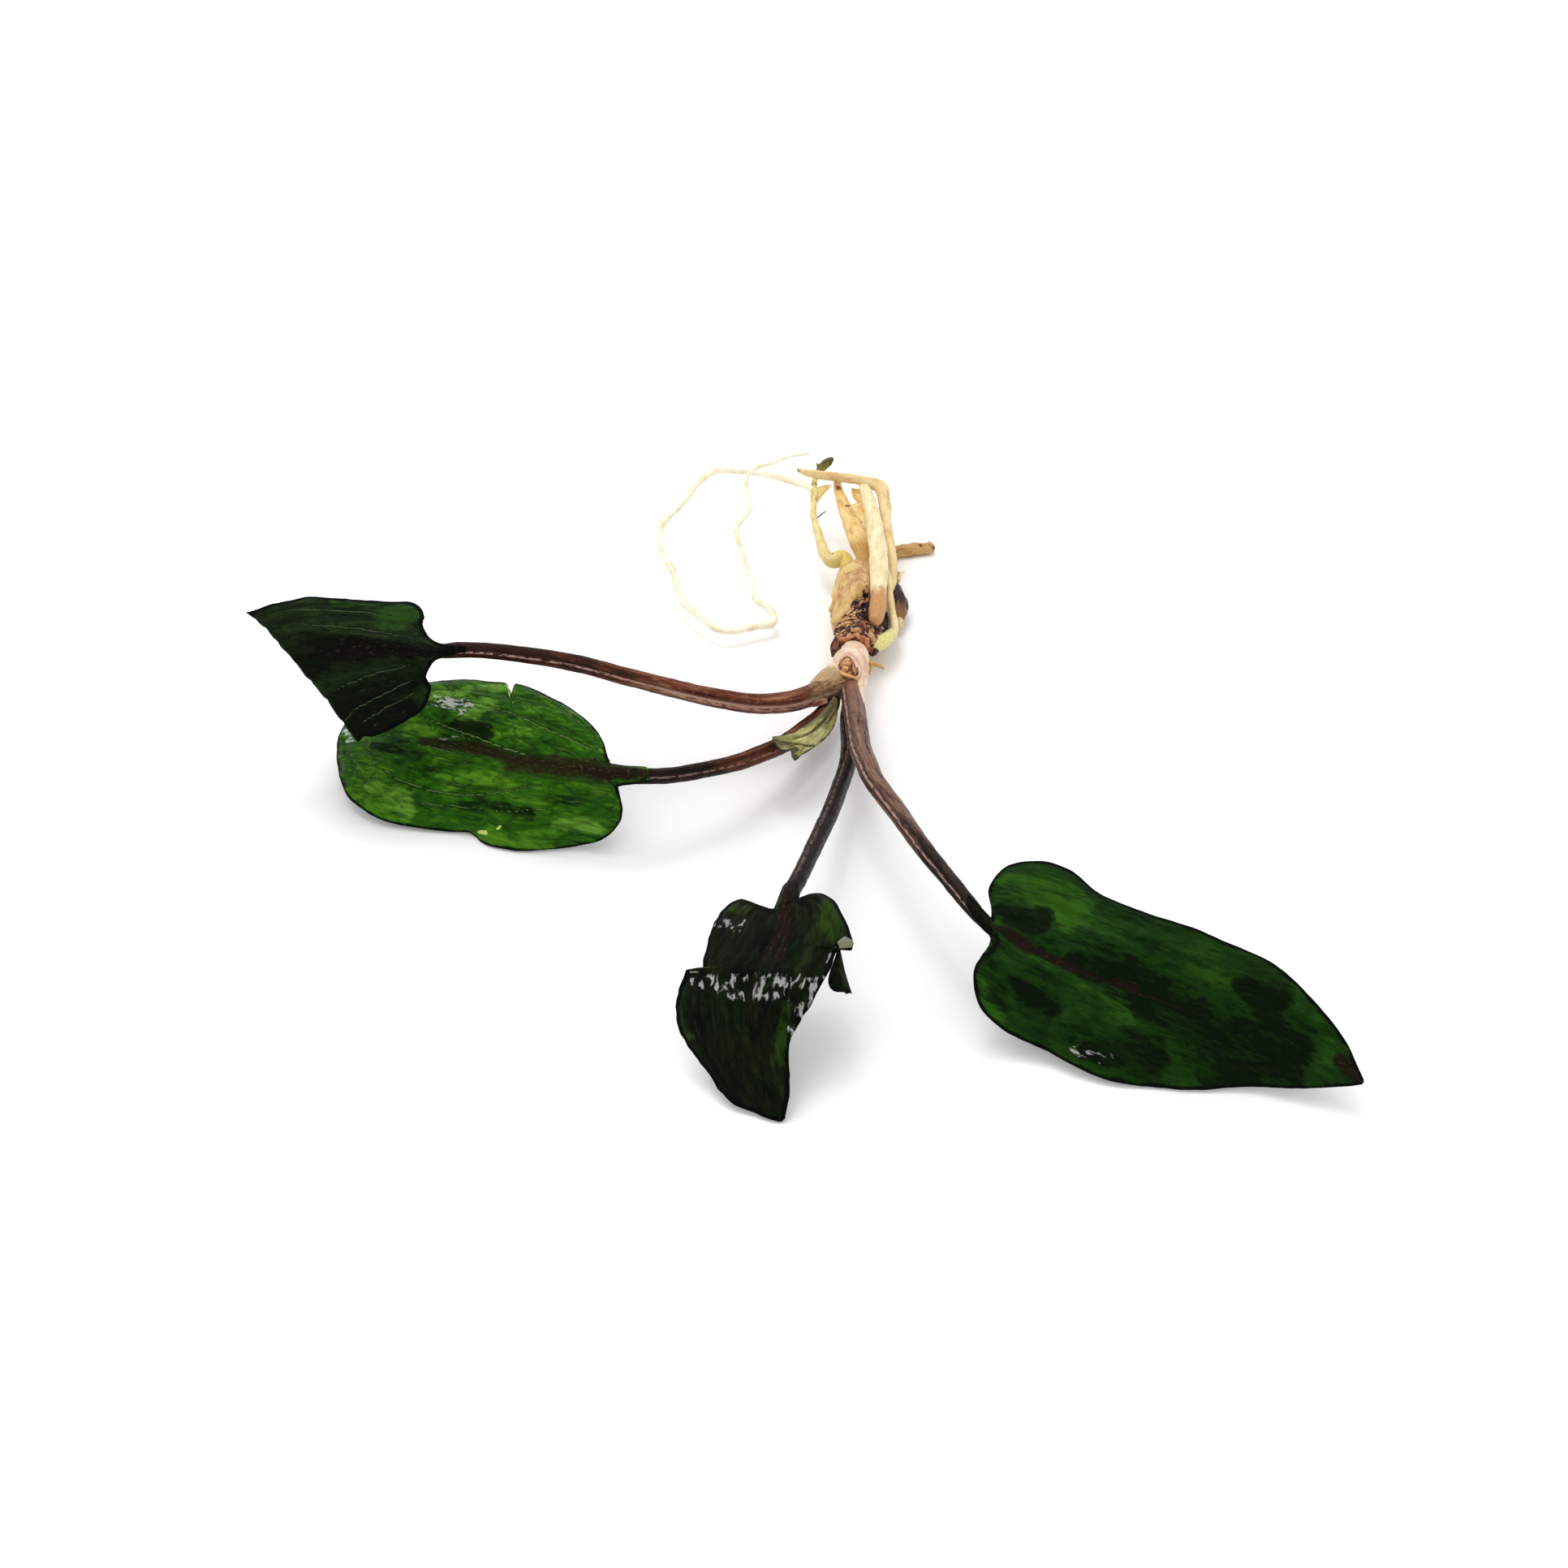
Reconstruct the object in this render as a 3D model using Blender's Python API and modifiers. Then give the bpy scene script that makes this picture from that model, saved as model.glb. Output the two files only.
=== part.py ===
"""A small cryptocoryne lying loose on a flat surface.

Four leaves, each a blade on a stalk, and one rolled young leaf come from a crown at the near end
of a short rhizome. The roots leave its far end. The plant lies in the XY plane with +Z up, its
roots towards +Y, and the origin is under the middle of its bounding box.

The tables hold millimetres in a frame of their own, and ORIGIN is the point of it that becomes
the plant's origin.
"""
import math

import bpy
from mathutils import Vector

# Driving dimensions, in millimetres
MM = 0.001
BLADE_THICKNESS = 0.5
RHIZOME_RADIUS = 3.4
COLLAR_RADIUS = 2.4
SCAR_RADIUS = 1.1

# Under the middle of the plant, on the surface
ORIGIN = (-1.98, 4.12, 0.3)

# The flat root's thickness, as a share of its width
FLAT_SHARE = 0.4

# How a lump's ends close: 1 gives an ellipsoid, 0 a cylinder
BLUNTNESS = 0.35

# The midrib's points bunch at the stalk, so that a blade's rows fan out into its lobes there
RIB_BUNCHING = 1.6
CREASED_RIB_BUNCHING = 1.4

# Faces along and across a blade, and along and round a lump
BLADE_ROWS = 20
BLADE_COLUMNS = 10
LUMP_RINGS = 16
LUMP_SIDES = 20

# A tube's bevel resolution, and its spans between two points of its table
TUBE_RESOLUTION = 2
TUBE_STEPS = 2

WET_ROUGHNESS = 0.35
ROOT_ROUGHNESS = 0.5
OLD_ROUGHNESS = 0.6

BLADE_GREEN = (0.05, 0.16, 0.02)
BLADE_DARK_GREEN = (0.012, 0.035, 0.008)
STALK_BROWN = (0.12, 0.05, 0.04)
YOUNG_GREEN = (0.30, 0.42, 0.08)
CROWN_CREAM = (0.75, 0.55, 0.42)
RHIZOME_TAN = (0.45, 0.30, 0.16)
ROOT_CREAM = (0.80, 0.76, 0.55)
ROOT_TAN = (0.60, 0.42, 0.22)
ROOT_GREEN = (0.55, 0.52, 0.20)
OLD_BROWN = (0.10, 0.05, 0.03)

# Each blade: the midrib, then its two margins, from the stalk to the tip
BLADES = {
    "blade_right": {
        "colour": BLADE_GREEN,
        "arch": 1.0,
        "rib": [(22.5, -38.5, 10.2), (29, -42.5, 9.2), (37, -46, 8.2), (45, -49, 7), (53, -52.5, 5.6),
                (59.5, -55.5, 4.5)],
        "left": [(22.5, -37.5, 10.5), (22.5, -35.5, 11), (22.5, -33.5, 12.2), (24.5, -31.5, 13.2),
                 (28, -31.5, 13.8), (31, -33, 13.8), (33.5, -36, 13.5), (36, -38, 13.5),
                 (40.5, -40.5, 13.2), (45.5, -42.5, 12.6), (50.5, -45, 11.8), (54, -48.5, 10.5),
                 (57.5, -52, 7.8), (59.5, -55.3, 4.7)],
        "right": [(22.5, -39.5, 9.8), (22, -41.2, 9.5), (20.5, -42.5, 9), (20, -44.5, 8),
                  (20.8, -46, 5.8), (23.5, -47, 3.4), (27.5, -48.5, 2.2), (30.5, -50.5, 1.7),
                  (34.5, -52, 1), (41, -52.5, 0.5), (48.5, -53, 1.2), (53.5, -54, 2.2),
                  (57.5, -55, 3.4), (59.3, -55.6, 4.3)],
    },
    "blade_near_left": {
        "colour": BLADE_GREEN,
        "arch": 1.2,
        "rib": [(-19.5, -13, 11.5), (-25, -11, 11), (-35.5, -6, 9.2), (-46.5, 1, 7), (-52, 5.5, 5),
                (-55, 8.5, 3.5)],
        "left": [(-19.3, -14, 10.4), (-18.8, -14.8, 8), (-19.5, -14.2, 5), (-21.5, -14, 2.6),
                 (-25.5, -13.3, 1), (-30.5, -13.5, 0.6), (-35, -12.7, 0.5), (-38, -10.6, 0.5),
                 (-43.5, -9.7, 0.8), (-47.5, -9, 1.2), (-51, -7.5, 2), (-53.5, -4.5, 2.6),
                 (-55, 0.5, 3), (-55.5, 5.3, 3.3), (-55.2, 8.2, 3.4)],
        "right": [(-20, -11.8, 12), (-21.5, -8, 12.5), (-23, -5, 12.8), (-26, -1, 12.6),
                  (-31.5, 3.7, 12), (-36.5, 6.2, 11), (-43, 8.5, 9.5), (-49, 9.3, 7.5),
                  (-53, 9.6, 5), (-54.8, 8.9, 3.7)],
    },
    "young_leaf": {
        "colour": YOUNG_GREEN,
        "arch": -0.5,
        "rib": [(6.6, 9.6, 6.8), (4.6, 3.6, 7.8), (2, -1.2, 8.5), (-1, -3.3, 9)],
        "left": [(6.9, 9.2, 6.6), (7, 6.8, 6.6), (5.5, 2.3, 7), (3.5, -1.4, 7.5), (1.5, -3.6, 8),
                 (-0.5, -4.6, 8.4), (-1.2, -3.8, 8.9)],
        "right": [(6.2, 9.8, 7.1), (4, 4.8, 8.3), (1.5, 0, 9.1), (-0.8, -2.7, 9.4), (-1.2, -3.2, 9.2)],
    },
}

# Blades that are creased straight across: each line is given up to the crease and on from it
CREASED_BLADES = {
    "blade_far_left": {
        "colour": BLADE_DARK_GREEN,
        "arch": 0.8,
        "crease": 0.6,
        "rib": [[(-41.5, -3, 22), (-47, -2.5, 21.8), (-52, -1.8, 21), (-58, -0.8, 19.4)],
                [(-58, -0.8, 19.4), (-53.5, 2.3, 15.6), (-49, 4.4, 12.4), (-45.5, 5.5, 10)]],
        "left": [[(-41.7, -3.7, 21.4), (-42, -4.2, 19.4), (-41.4, -4.6, 17.4), (-42.5, -6, 15.6),
                  (-45.5, -7.6, 14.4), (-48, -8.3, 13.6), (-50, -8.6, 13)],
                 [(-50, -8.6, 13), (-49.2, -4, 11.4), (-47.5, 0.5, 10.2), (-45.7, 5.2, 9.9)]],
        "right": [[(-41.7, -2.6, 22.7), (-42.4, -0.5, 24), (-42.4, 1.2, 24.6), (-44, 2.7, 25),
                   (-47, 2.8, 25), (-54.5, 4, 25), (-59, 3, 25), (-63.4, 2.1, 24)],
                  [(-63.4, 2.1, 24), (-57, 4.2, 20.4), (-51, 5.6, 15.8), (-45.3, 5.8, 10.1)]],
    },
    "blade_front": {
        "colour": BLADE_DARK_GREEN,
        "arch": 0.8,
        "crease": 0.5,
        "rib": [[(0.2, -39.4, 13.8), (-1, -43.8, 13.4), (-3, -47.6, 12)],
                [(-3, -47.6, 12), (-3.4, -49.6, 9.6), (-3, -52, 6), (-1.8, -54.5, 2.8),
                 (-0.2, -57.2, 0.5)]],
        "left": [[(1.5, -38.8, 13.6), (2.6, -36.4, 13.2), (5, -37.2, 13), (6.4, -40, 12.6),
                  (7.3, -43, 11.6), (6, -45.5, 11.6), (4.3, -47.5, 11.7)],
                 [(4.3, -47.5, 11.7), (2.9, -49.2, 10), (1.2, -51.5, 8), (0.6, -53.5, 6.4),
                  (0.6, -55.7, 3.4), (0.1, -57, 0.8)]],
        "right": [[(-1.2, -39.5, 13.5), (-2.5, -38.8, 13.2), (-4.7, -36.5, 12.6), (-6.6, -38.2, 12.4),
                   (-8, -42.5, 12.2), (-8.9, -45.6, 12.1), (-10.2, -46.8, 12)],
                  [(-10.2, -46.8, 12), (-11.2, -47.3, 8), (-11, -48.2, 5), (-8.6, -51.3, 3),
                   (-5.6, -55.1, 1.3), (-2.3, -56.7, 0.7), (-0.6, -57.2, 0.5)]],
    },
}

# Each stalk: its centre line from the crown to the blade, with the radius at its two ends
STALKS = {
    "stalk_far_left": {
        "line": [(6.1, 13, 6.4), (5.2, 11.3, 6.5), (3.4, 9.7, 6.5), (1, 8, 6.9), (-1.6, 6.8, 7.4),
                 (-4.1, 5.7, 8.2), (-7.6, 4.8, 9.5), (-11.5, 4.1, 11), (-19, 3.2, 14),
                 (-26, 2.1, 17), (-35, 0, 20), (-40.8, -2.7, 21.9)],
        "radii": (1.1, 0.85),
    },
    "stalk_near_left": {
        "line": [(6.3, 13, 4), (5.9, 10.7, 4.2), (4.4, 7.2, 4.8), (2.4, 3.9, 5.4), (-0.1, -0.3, 6.4),
                 (-3.5, -4.3, 7.6), (-6.4, -7.2, 8.6), (-13, -11.1, 10), (-18.8, -13.1, 11.4)],
        "radii": (0.95, 0.85),
    },
    "stalk_front": {
        "line": [(8.5, 13, 3.9), (8.2, 10, 4), (8, 7, 4.2), (8, 1.4, 5), (7.7, -3, 5.6),
                 (7, -7, 6.2), (5.4, -15.4, 8), (3.5, -23.8, 10), (1.7, -31.8, 12), (0.1, -37.8, 13.5)],
        "radii": (0.9, 0.85),
    },
    "stalk_right": {
        "line": [(8.5, 12.5, 6.1), (8.5, 10.3, 6.9), (8.7, 4.8, 7.8), (9.1, -4.5, 9.2), (9.7, -8.5, 9.8),
                 (10.4, -12.1, 10.2), (11.6, -15.7, 10.6), (12.9, -19.2, 11), (15.2, -25.5, 11.4),
                 (17.8, -30.8, 11.2), (20.1, -35.1, 10.8), (21.5, -37.4, 10.4)],
        "radii": (1.15, 0.85),
    },
}

# Each root: its centre line with the radius at every point
ROOTS = {
    "root_green": {
        "colour": ROOT_GREEN,
        "line": [(8.7, 43.6, 4.4), (8, 44.6, 4.8), (6.6, 43.6, 4.9), (5.6, 45.4, 5.4),
                 (4.8, 48.4, 6.2), (4.2, 52.9, 7.2), (4.3, 57, 8), (4.4, 60.8, 8),
                 (5.2, 63.4, 8.4), (7.2, 65.4, 9)],
        "radii": [0.8, 0.9, 0.9, 0.7, 0.5, 0.4, 0.5, 0.35, 0.5, 0.3],
    },
    "root_long_white": {
        "colour": ROOT_CREAM,
        "line": [(3.4, 58.8, 8.1), (0.5, 60, 8.4), (-3, 61, 8.8), (-6.5, 61.6, 9), (-10, 61.2, 9),
                 (-12.2, 58.8, 8.7), (-13.6, 55.7, 8.2), (-15.6, 52.7, 7.6), (-17.1, 50.7, 6.8),
                 (-17.5, 48.3, 6), (-17, 44.7, 5.2), (-15.5, 42.5, 4.6), (-14.7, 38.9, 4),
                 (-13.7, 35.8, 3.4), (-11.4, 32.8, 3), (-9, 30.2, 2.7), (-6.5, 30.3, 2.5),
                 (-4, 31.4, 2.4), (-1.8, 32.1, 2.4), (-1.3, 33.4, 2.6), (-2.3, 34.9, 3.2),
                 (-3.8, 36, 3.8), (-4.5, 39.4, 4.6), (-5.5, 43.7, 5.2), (-6.6, 48.4, 6.2),
                 (-6.6, 50.1, 6.8), (-5.5, 51.8, 7.4), (-4.8, 53.4, 7.9), (-5.2, 55.5, 8.8),
                 (-5.3, 57.1, 9.8), (-4.5, 58.5, 10.8), (-2.4, 59.6, 11.2), (0.5, 61.5, 11.3),
                 (3.7, 62.7, 11.3)],
        "radii": [0.5, 0.5, 0.5, 0.5, 0.5, 0.5, 0.5, 0.55, 0.55, 0.55, 0.5, 0.5, 0.5, 0.55, 0.55,
                  0.5, 0.5, 0.5, 0.55, 0.5, 0.5, 0.5, 0.4, 0.35, 0.35, 0.35, 0.4, 0.45, 0.35, 0.3,
                  0.35, 0.35, 0.3, 0.2],
    },
    "root_bent_tan": {
        "colour": ROOT_TAN,
        "line": [(1.9, 60.5, 9.9), (5.1, 58.7, 9.9), (8.6, 58.6, 9.5), (11.5, 58.2, 9.2),
                 (13.5, 57.4, 8.8), (14.2, 54.7, 8.4), (14.4, 50.1, 7.6), (14.7, 45.6, 6.4),
                 (14.9, 41.6, 4.9), (14.6, 38.6, 3.7)],
        "radii": [0.4, 0.6, 0.65, 0.65, 0.8, 0.75, 0.65, 0.65, 0.65, 0.55],
    },
    "root_flat_tan": {
        "colour": ROOT_TAN,
        "line": [(8.1, 57.6, 7.6), (9, 54.4, 7.1), (10.1, 50.1, 6.4), (10.7, 46.4, 5.7), (11, 43.9, 5.1)],
        "radii": [0.6, 0.9, 1.3, 1.2, 0.7],
    },
    "root_ringed": {
        "colour": ROOT_CREAM,
        "line": [(11.5, 56.3, 8.4), (12.1, 52.6, 8.2), (12.6, 46.9, 7.8), (12.8, 40.6, 7.5),
                 (12.8, 35.5, 7.5), (12.8, 30.8, 7.3), (12.5, 25.7, 7.1)],
        "radii": [0.7, 0.9, 1.1, 1.2, 1.15, 1.1, 0.8],
    },
    "root_thin_right": {
        "colour": ROOT_CREAM,
        "line": [(12.9, 23.8, 4.3), (13.8, 26, 3.9), (14.6, 28.4, 3.9), (14.6, 31.3, 4.3),
                 (14.5, 34.4, 4.9), (14.4, 38, 5.7), (14.3, 41, 6.1)],
        "radii": [0.55, 0.5, 0.5, 0.45, 0.4, 0.35, 0.25],
    },
    "root_stub_right": {
        "colour": ROOT_TAN,
        "line": [(11.6, 43.7, 2.5), (12.6, 46.4, 1.8), (14, 49.6, 1.3), (15.9, 52, 1.2), (19, 52.9, 1.1),
                 (21.4, 53.4, 1.1)],
        "radii": [0.5, 0.6, 0.7, 0.85, 0.8, 0.7],
    },
    "old_leaf_base": {
        "colour": OLD_BROWN,
        "line": [(13.9, 33, 1.9), (15, 33.6, 2), (16, 35.5, 2.3), (16.2, 38.2, 2.5), (15.9, 41, 2.6),
                 (15.7, 43.5, 2.6)],
        "radii": [0.5, 0.65, 0.9, 0.95, 0.6, 0.4],
    },
    "pale_bud": {
        "colour": ROOT_CREAM,
        "line": [(15.7, 32.4, 1.9), (15.65, 31.7, 1.8), (15.6, 31, 1.7)],
        "radii": [0.45, 0.6, 0.4],
    },
}

# The rhizome and the crown's collar, each a lump on an axis that runs from its far to its near end
RHIZOME_LINE = [(10.1, 42.9, 3.9), (10, 38, 3.8), (10, 33, 3.8), (9.7, 27.5, 4.1), (9.2, 21.9, 5)]
COLLAR_LINE = [(9, 21.5, 5.3), (8.6, 17.5, 5.3), (8, 13.4, 5.3)]

# The scar of a lost leaf, a thin disc on the collar
SCAR_FOOT = (8.1, 15, 7.95)
SCAR_TOP = (8.1, 14.85, 8.45)


def add_material(name, colour, roughness):
    """A plain Principled material."""
    material = bpy.data.materials.new(name)
    material.use_nodes = True
    shader = material.node_tree.nodes["Principled BSDF"]
    shader.inputs["Base Color"].default_value = (*colour, 1.0)
    shader.inputs["Roughness"].default_value = roughness
    shader.inputs["Metallic"].default_value = 0.0
    return material


def placed(point):
    """A point of the tables in metres, counted from the plant's origin."""
    return (Vector(point) - Vector(ORIGIN)) * MM


def smooth_line(points, steps=8):
    """Points on a smooth curve through the given points (Catmull-Rom)."""
    knots = [Vector(point) for point in points]
    before = 2 * knots[0] - knots[1]
    after = 2 * knots[-1] - knots[-2]
    knots = [before] + knots + [after]
    line = []
    for a, b, c, d in zip(knots, knots[1:], knots[2:], knots[3:]):
        for step in range(steps):
            t = step / steps
            bend = (2 * a - 5 * b + 4 * c - d) * t * t + (3 * b - a - 3 * c + d) * t ** 3
            line.append(0.5 * (2 * b + (c - a) * t + bend))
    line.append(knots[-2])
    return line


def point_along(line, fraction):
    """The point that lies this fraction of the way along a line of points."""
    spans = [(b - a).length for a, b in zip(line, line[1:])]
    left = max(0.0, min(1.0, fraction)) * sum(spans)
    for start, end, span in zip(line, line[1:], spans):
        if left <= span:
            return start.lerp(end, left / span)
        left -= span
    return line[-1]


def link(obj, collection):
    """Put an object in the plant's collection only."""
    for other in obj.users_collection:
        other.objects.unlink(obj)
    collection.objects.link(obj)


def add_tube(name, line, radii, material, collection):
    """A round tube along a centre line in millimetres, with a radius at each of its points."""
    curve = bpy.data.curves.new(name, "CURVE")
    curve.dimensions = "3D"
    curve.bevel_depth = MM
    curve.bevel_resolution = TUBE_RESOLUTION
    curve.use_fill_caps = True
    spline = curve.splines.new("POLY")
    spline.points.add(len(line) - 1)
    for knot, point, radius in zip(spline.points, line, radii):
        knot.co = (*placed(point), 1.0)
        knot.radius = radius
    spline.use_smooth = True
    curve.materials.append(material)
    tube = bpy.data.objects.new(name, curve)
    collection.objects.link(tube)
    return tube


def add_stalk(name, stalk, material, collection):
    """A leaf stalk that thins evenly from the crown to its blade."""
    line = smooth_line(stalk["line"], TUBE_STEPS)
    first, last = stalk["radii"]
    radii = [first + (last - first) * i / (len(line) - 1) for i in range(len(line))]
    return add_tube(name, line, radii, material, collection)


def add_root(name, root, material, collection):
    """A root whose radius follows its own table."""
    line = smooth_line(root["line"], TUBE_STEPS)
    radii = []
    for first, last in zip(root["radii"], root["radii"][1:]):
        radii += [first + (last - first) * step / TUBE_STEPS for step in range(TUBE_STEPS)]
    radii.append(root["radii"][-1])
    return add_tube(name, line, radii, material, collection)


def flatten(root):
    """Turn a round root into a round-edged ribbon whose flat side faces up."""
    root.data.bevel_depth = FLAT_SHARE * MM
    root.data.extrude = (1 - FLAT_SHARE) * MM
    for knot in root.data.splines[0].points:
        knot.tilt = math.pi / 2


def rhizome_shape(along, angle):
    """How far the rhizome's surface is from its axis, as a share of its radius."""
    taper = 0.97 + 0.25 * along - 0.35 * along * along
    lumps = 0.04 * math.sin(3 * angle + 9 * along) + 0.03 * math.sin(5 * angle - 14 * along)
    # The rotted hollow lies on the upper right side, past the middle
    hollow = 0.42 * math.exp(-((angle - 0.85) / 0.5) ** 2 - ((along - 0.6) / 0.17) ** 2)
    return taper + lumps - hollow


def collar_shape(along, angle):
    """The collar is a little wider at its far rim and slightly flattened underneath."""
    return 1.05 - 0.12 * along - 0.06 * max(0.0, -math.sin(angle))


def add_lump(name, line, radius, shape, material, collection):
    """A blunt-ended lump: a sphere drawn out along an axis, with its radius given by shape."""
    bpy.ops.mesh.primitive_uv_sphere_add(segments=LUMP_SIDES, ring_count=LUMP_RINGS, radius=1)
    lump = bpy.context.object
    lump.name = name
    lump.data.name = name
    link(lump, collection)
    axis = smooth_line(line)
    for vertex in lump.data.vertices:
        along = 0.5 - 0.5 * vertex.co.z
        angle = math.atan2(-vertex.co.y, vertex.co.x)
        reach = radius * shape(along, angle) * math.hypot(vertex.co.x, vertex.co.y) ** BLUNTNESS
        out = Vector((math.cos(angle), 0, math.sin(angle))) * reach
        vertex.co = placed(point_along(axis, along) + out)
    lump.data.shade_smooth()
    lump.data.materials.append(material)
    return lump


def plain_lines(blade):
    """The blade's three lines, each read by how far along the leaf a point is."""
    smooth = {key: smooth_line(blade[key]) for key in ("rib", "left", "right")}

    def read(key, along):
        return point_along(smooth[key], along ** RIB_BUNCHING if key == "rib" else along)

    return read


def creased_lines(blade):
    """The same for a blade that is creased: the crease is one straight row across it."""
    smooth = {key: [smooth_line(part) for part in blade[key]] for key in ("rib", "left", "right")}
    crease = blade["crease"]

    def read(key, along):
        if along > crease:
            return point_along(smooth[key][1], (along - crease) / (1 - crease))
        share = along / crease
        if key == "rib":
            share = share ** CREASED_RIB_BUNCHING
        return point_along(smooth[key][0], share)

    return read


def add_blade(name, blade, read, material, collection):
    """A leaf blade: a grid stretched from the midrib to both margins, then given its thickness."""
    bpy.ops.mesh.primitive_grid_add(x_subdivisions=BLADE_ROWS, y_subdivisions=BLADE_COLUMNS, size=2)
    leaf = bpy.context.object
    leaf.name = name
    leaf.data.name = name
    link(leaf, collection)
    for vertex in leaf.data.vertices:
        along = 0.5 + 0.5 * vertex.co.x
        across = vertex.co.y
        rib = read("rib", along)
        margin = read("left" if across > 0 else "right", along)
        point = rib.lerp(margin, abs(across))
        point.z += blade["arch"] * 4 * abs(across) * (1 - abs(across)) * math.sin(math.pi * along)
        vertex.co = placed(point)
    leaf.data.shade_smooth()
    leaf.data.materials.append(material)
    skin = leaf.modifiers.new("thickness", "SOLIDIFY")
    skin.thickness = BLADE_THICKNESS * MM
    skin.offset = 0.0
    return leaf


def main():
    for old in list(bpy.data.objects):
        bpy.data.objects.remove(old, do_unlink=True)
    plant = bpy.data.collections.new("cryptocoryne")
    bpy.context.scene.collection.children.link(plant)
    for name, blade in BLADES.items():
        material = add_material(name, blade["colour"], WET_ROUGHNESS)
        add_blade(name, blade, plain_lines(blade), material, plant)
    for name, blade in CREASED_BLADES.items():
        material = add_material(name, blade["colour"], WET_ROUGHNESS)
        add_blade(name, blade, creased_lines(blade), material, plant)
    for name, stalk in STALKS.items():
        add_stalk(name, stalk, add_material(name, STALK_BROWN, WET_ROUGHNESS), plant)
    for name, root in ROOTS.items():
        add_root(name, root, add_material(name, root["colour"], ROOT_ROUGHNESS), plant)
    flatten(bpy.data.objects["root_flat_tan"])
    old_brown = add_material("leaf_scar", OLD_BROWN, OLD_ROUGHNESS)
    add_tube("leaf_scar", [SCAR_FOOT, SCAR_TOP], [SCAR_RADIUS, SCAR_RADIUS], old_brown, plant)
    tan = add_material("rhizome", RHIZOME_TAN, OLD_ROUGHNESS)
    add_lump("rhizome", RHIZOME_LINE, RHIZOME_RADIUS, rhizome_shape, tan, plant)
    cream = add_material("crown_collar", CROWN_CREAM, WET_ROUGHNESS)
    add_lump("crown_collar", COLLAR_LINE, COLLAR_RADIUS, collar_shape, cream, plant)


main()
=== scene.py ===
import itertools
import math

import bmesh
import bpy
import numpy as np
from bpy.props import FloatProperty, FloatVectorProperty, IntProperty, PointerProperty
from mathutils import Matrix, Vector


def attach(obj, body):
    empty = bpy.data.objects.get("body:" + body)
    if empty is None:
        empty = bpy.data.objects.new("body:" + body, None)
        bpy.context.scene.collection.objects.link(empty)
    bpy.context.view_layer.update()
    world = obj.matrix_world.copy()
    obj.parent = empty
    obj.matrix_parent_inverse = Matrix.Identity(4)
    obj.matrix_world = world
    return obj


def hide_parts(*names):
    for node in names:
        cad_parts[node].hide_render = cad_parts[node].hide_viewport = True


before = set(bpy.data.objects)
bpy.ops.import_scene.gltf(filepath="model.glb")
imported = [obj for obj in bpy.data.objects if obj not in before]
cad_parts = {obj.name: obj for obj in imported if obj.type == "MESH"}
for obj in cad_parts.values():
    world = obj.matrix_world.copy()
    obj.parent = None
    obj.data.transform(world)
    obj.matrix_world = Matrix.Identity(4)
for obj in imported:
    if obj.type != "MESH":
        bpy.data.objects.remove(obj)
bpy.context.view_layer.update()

bl_info = {
    "name": "Cryptocoryne plant",
    "version": (1, 0, 0),
    "blender": (4, 5, 0),
    "location": "3D View > Sidebar > Plant",
    "description": "A small water plant with heart-shaped leaves and bare roots, on a pale floor",
    "category": "Add Mesh",
}

# The tables hold millimetres in a frame of their own, and ORIGIN is its point on the floor under
# the middle of the plant, as in the plant's solids
MM = 0.001
ORIGIN = np.array((-1.98, 4.12, 0.3))
FLOOR_HEIGHT = 0.3
FLOOR_GAP = 0.03

# How far the midrib's points bunch at the stalk, so that the rows fan out into the lobes
RIB_BUNCHING = 1.6
CREASED_RIB_BUNCHING = 1.4

# How far back on its stalk a blade's margins begin, and how far out there as a share of its radius
WEB_LENGTH = 3.0
WEB_WIDTH = 0.85
WEB_ROWS = 16

# The kinds of strokes that a blade may have: each is a half width in millimetres and a line in plan
STROKES = ("bright", "blot", "brown", "line", "pale", "torn", "wet")

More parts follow.
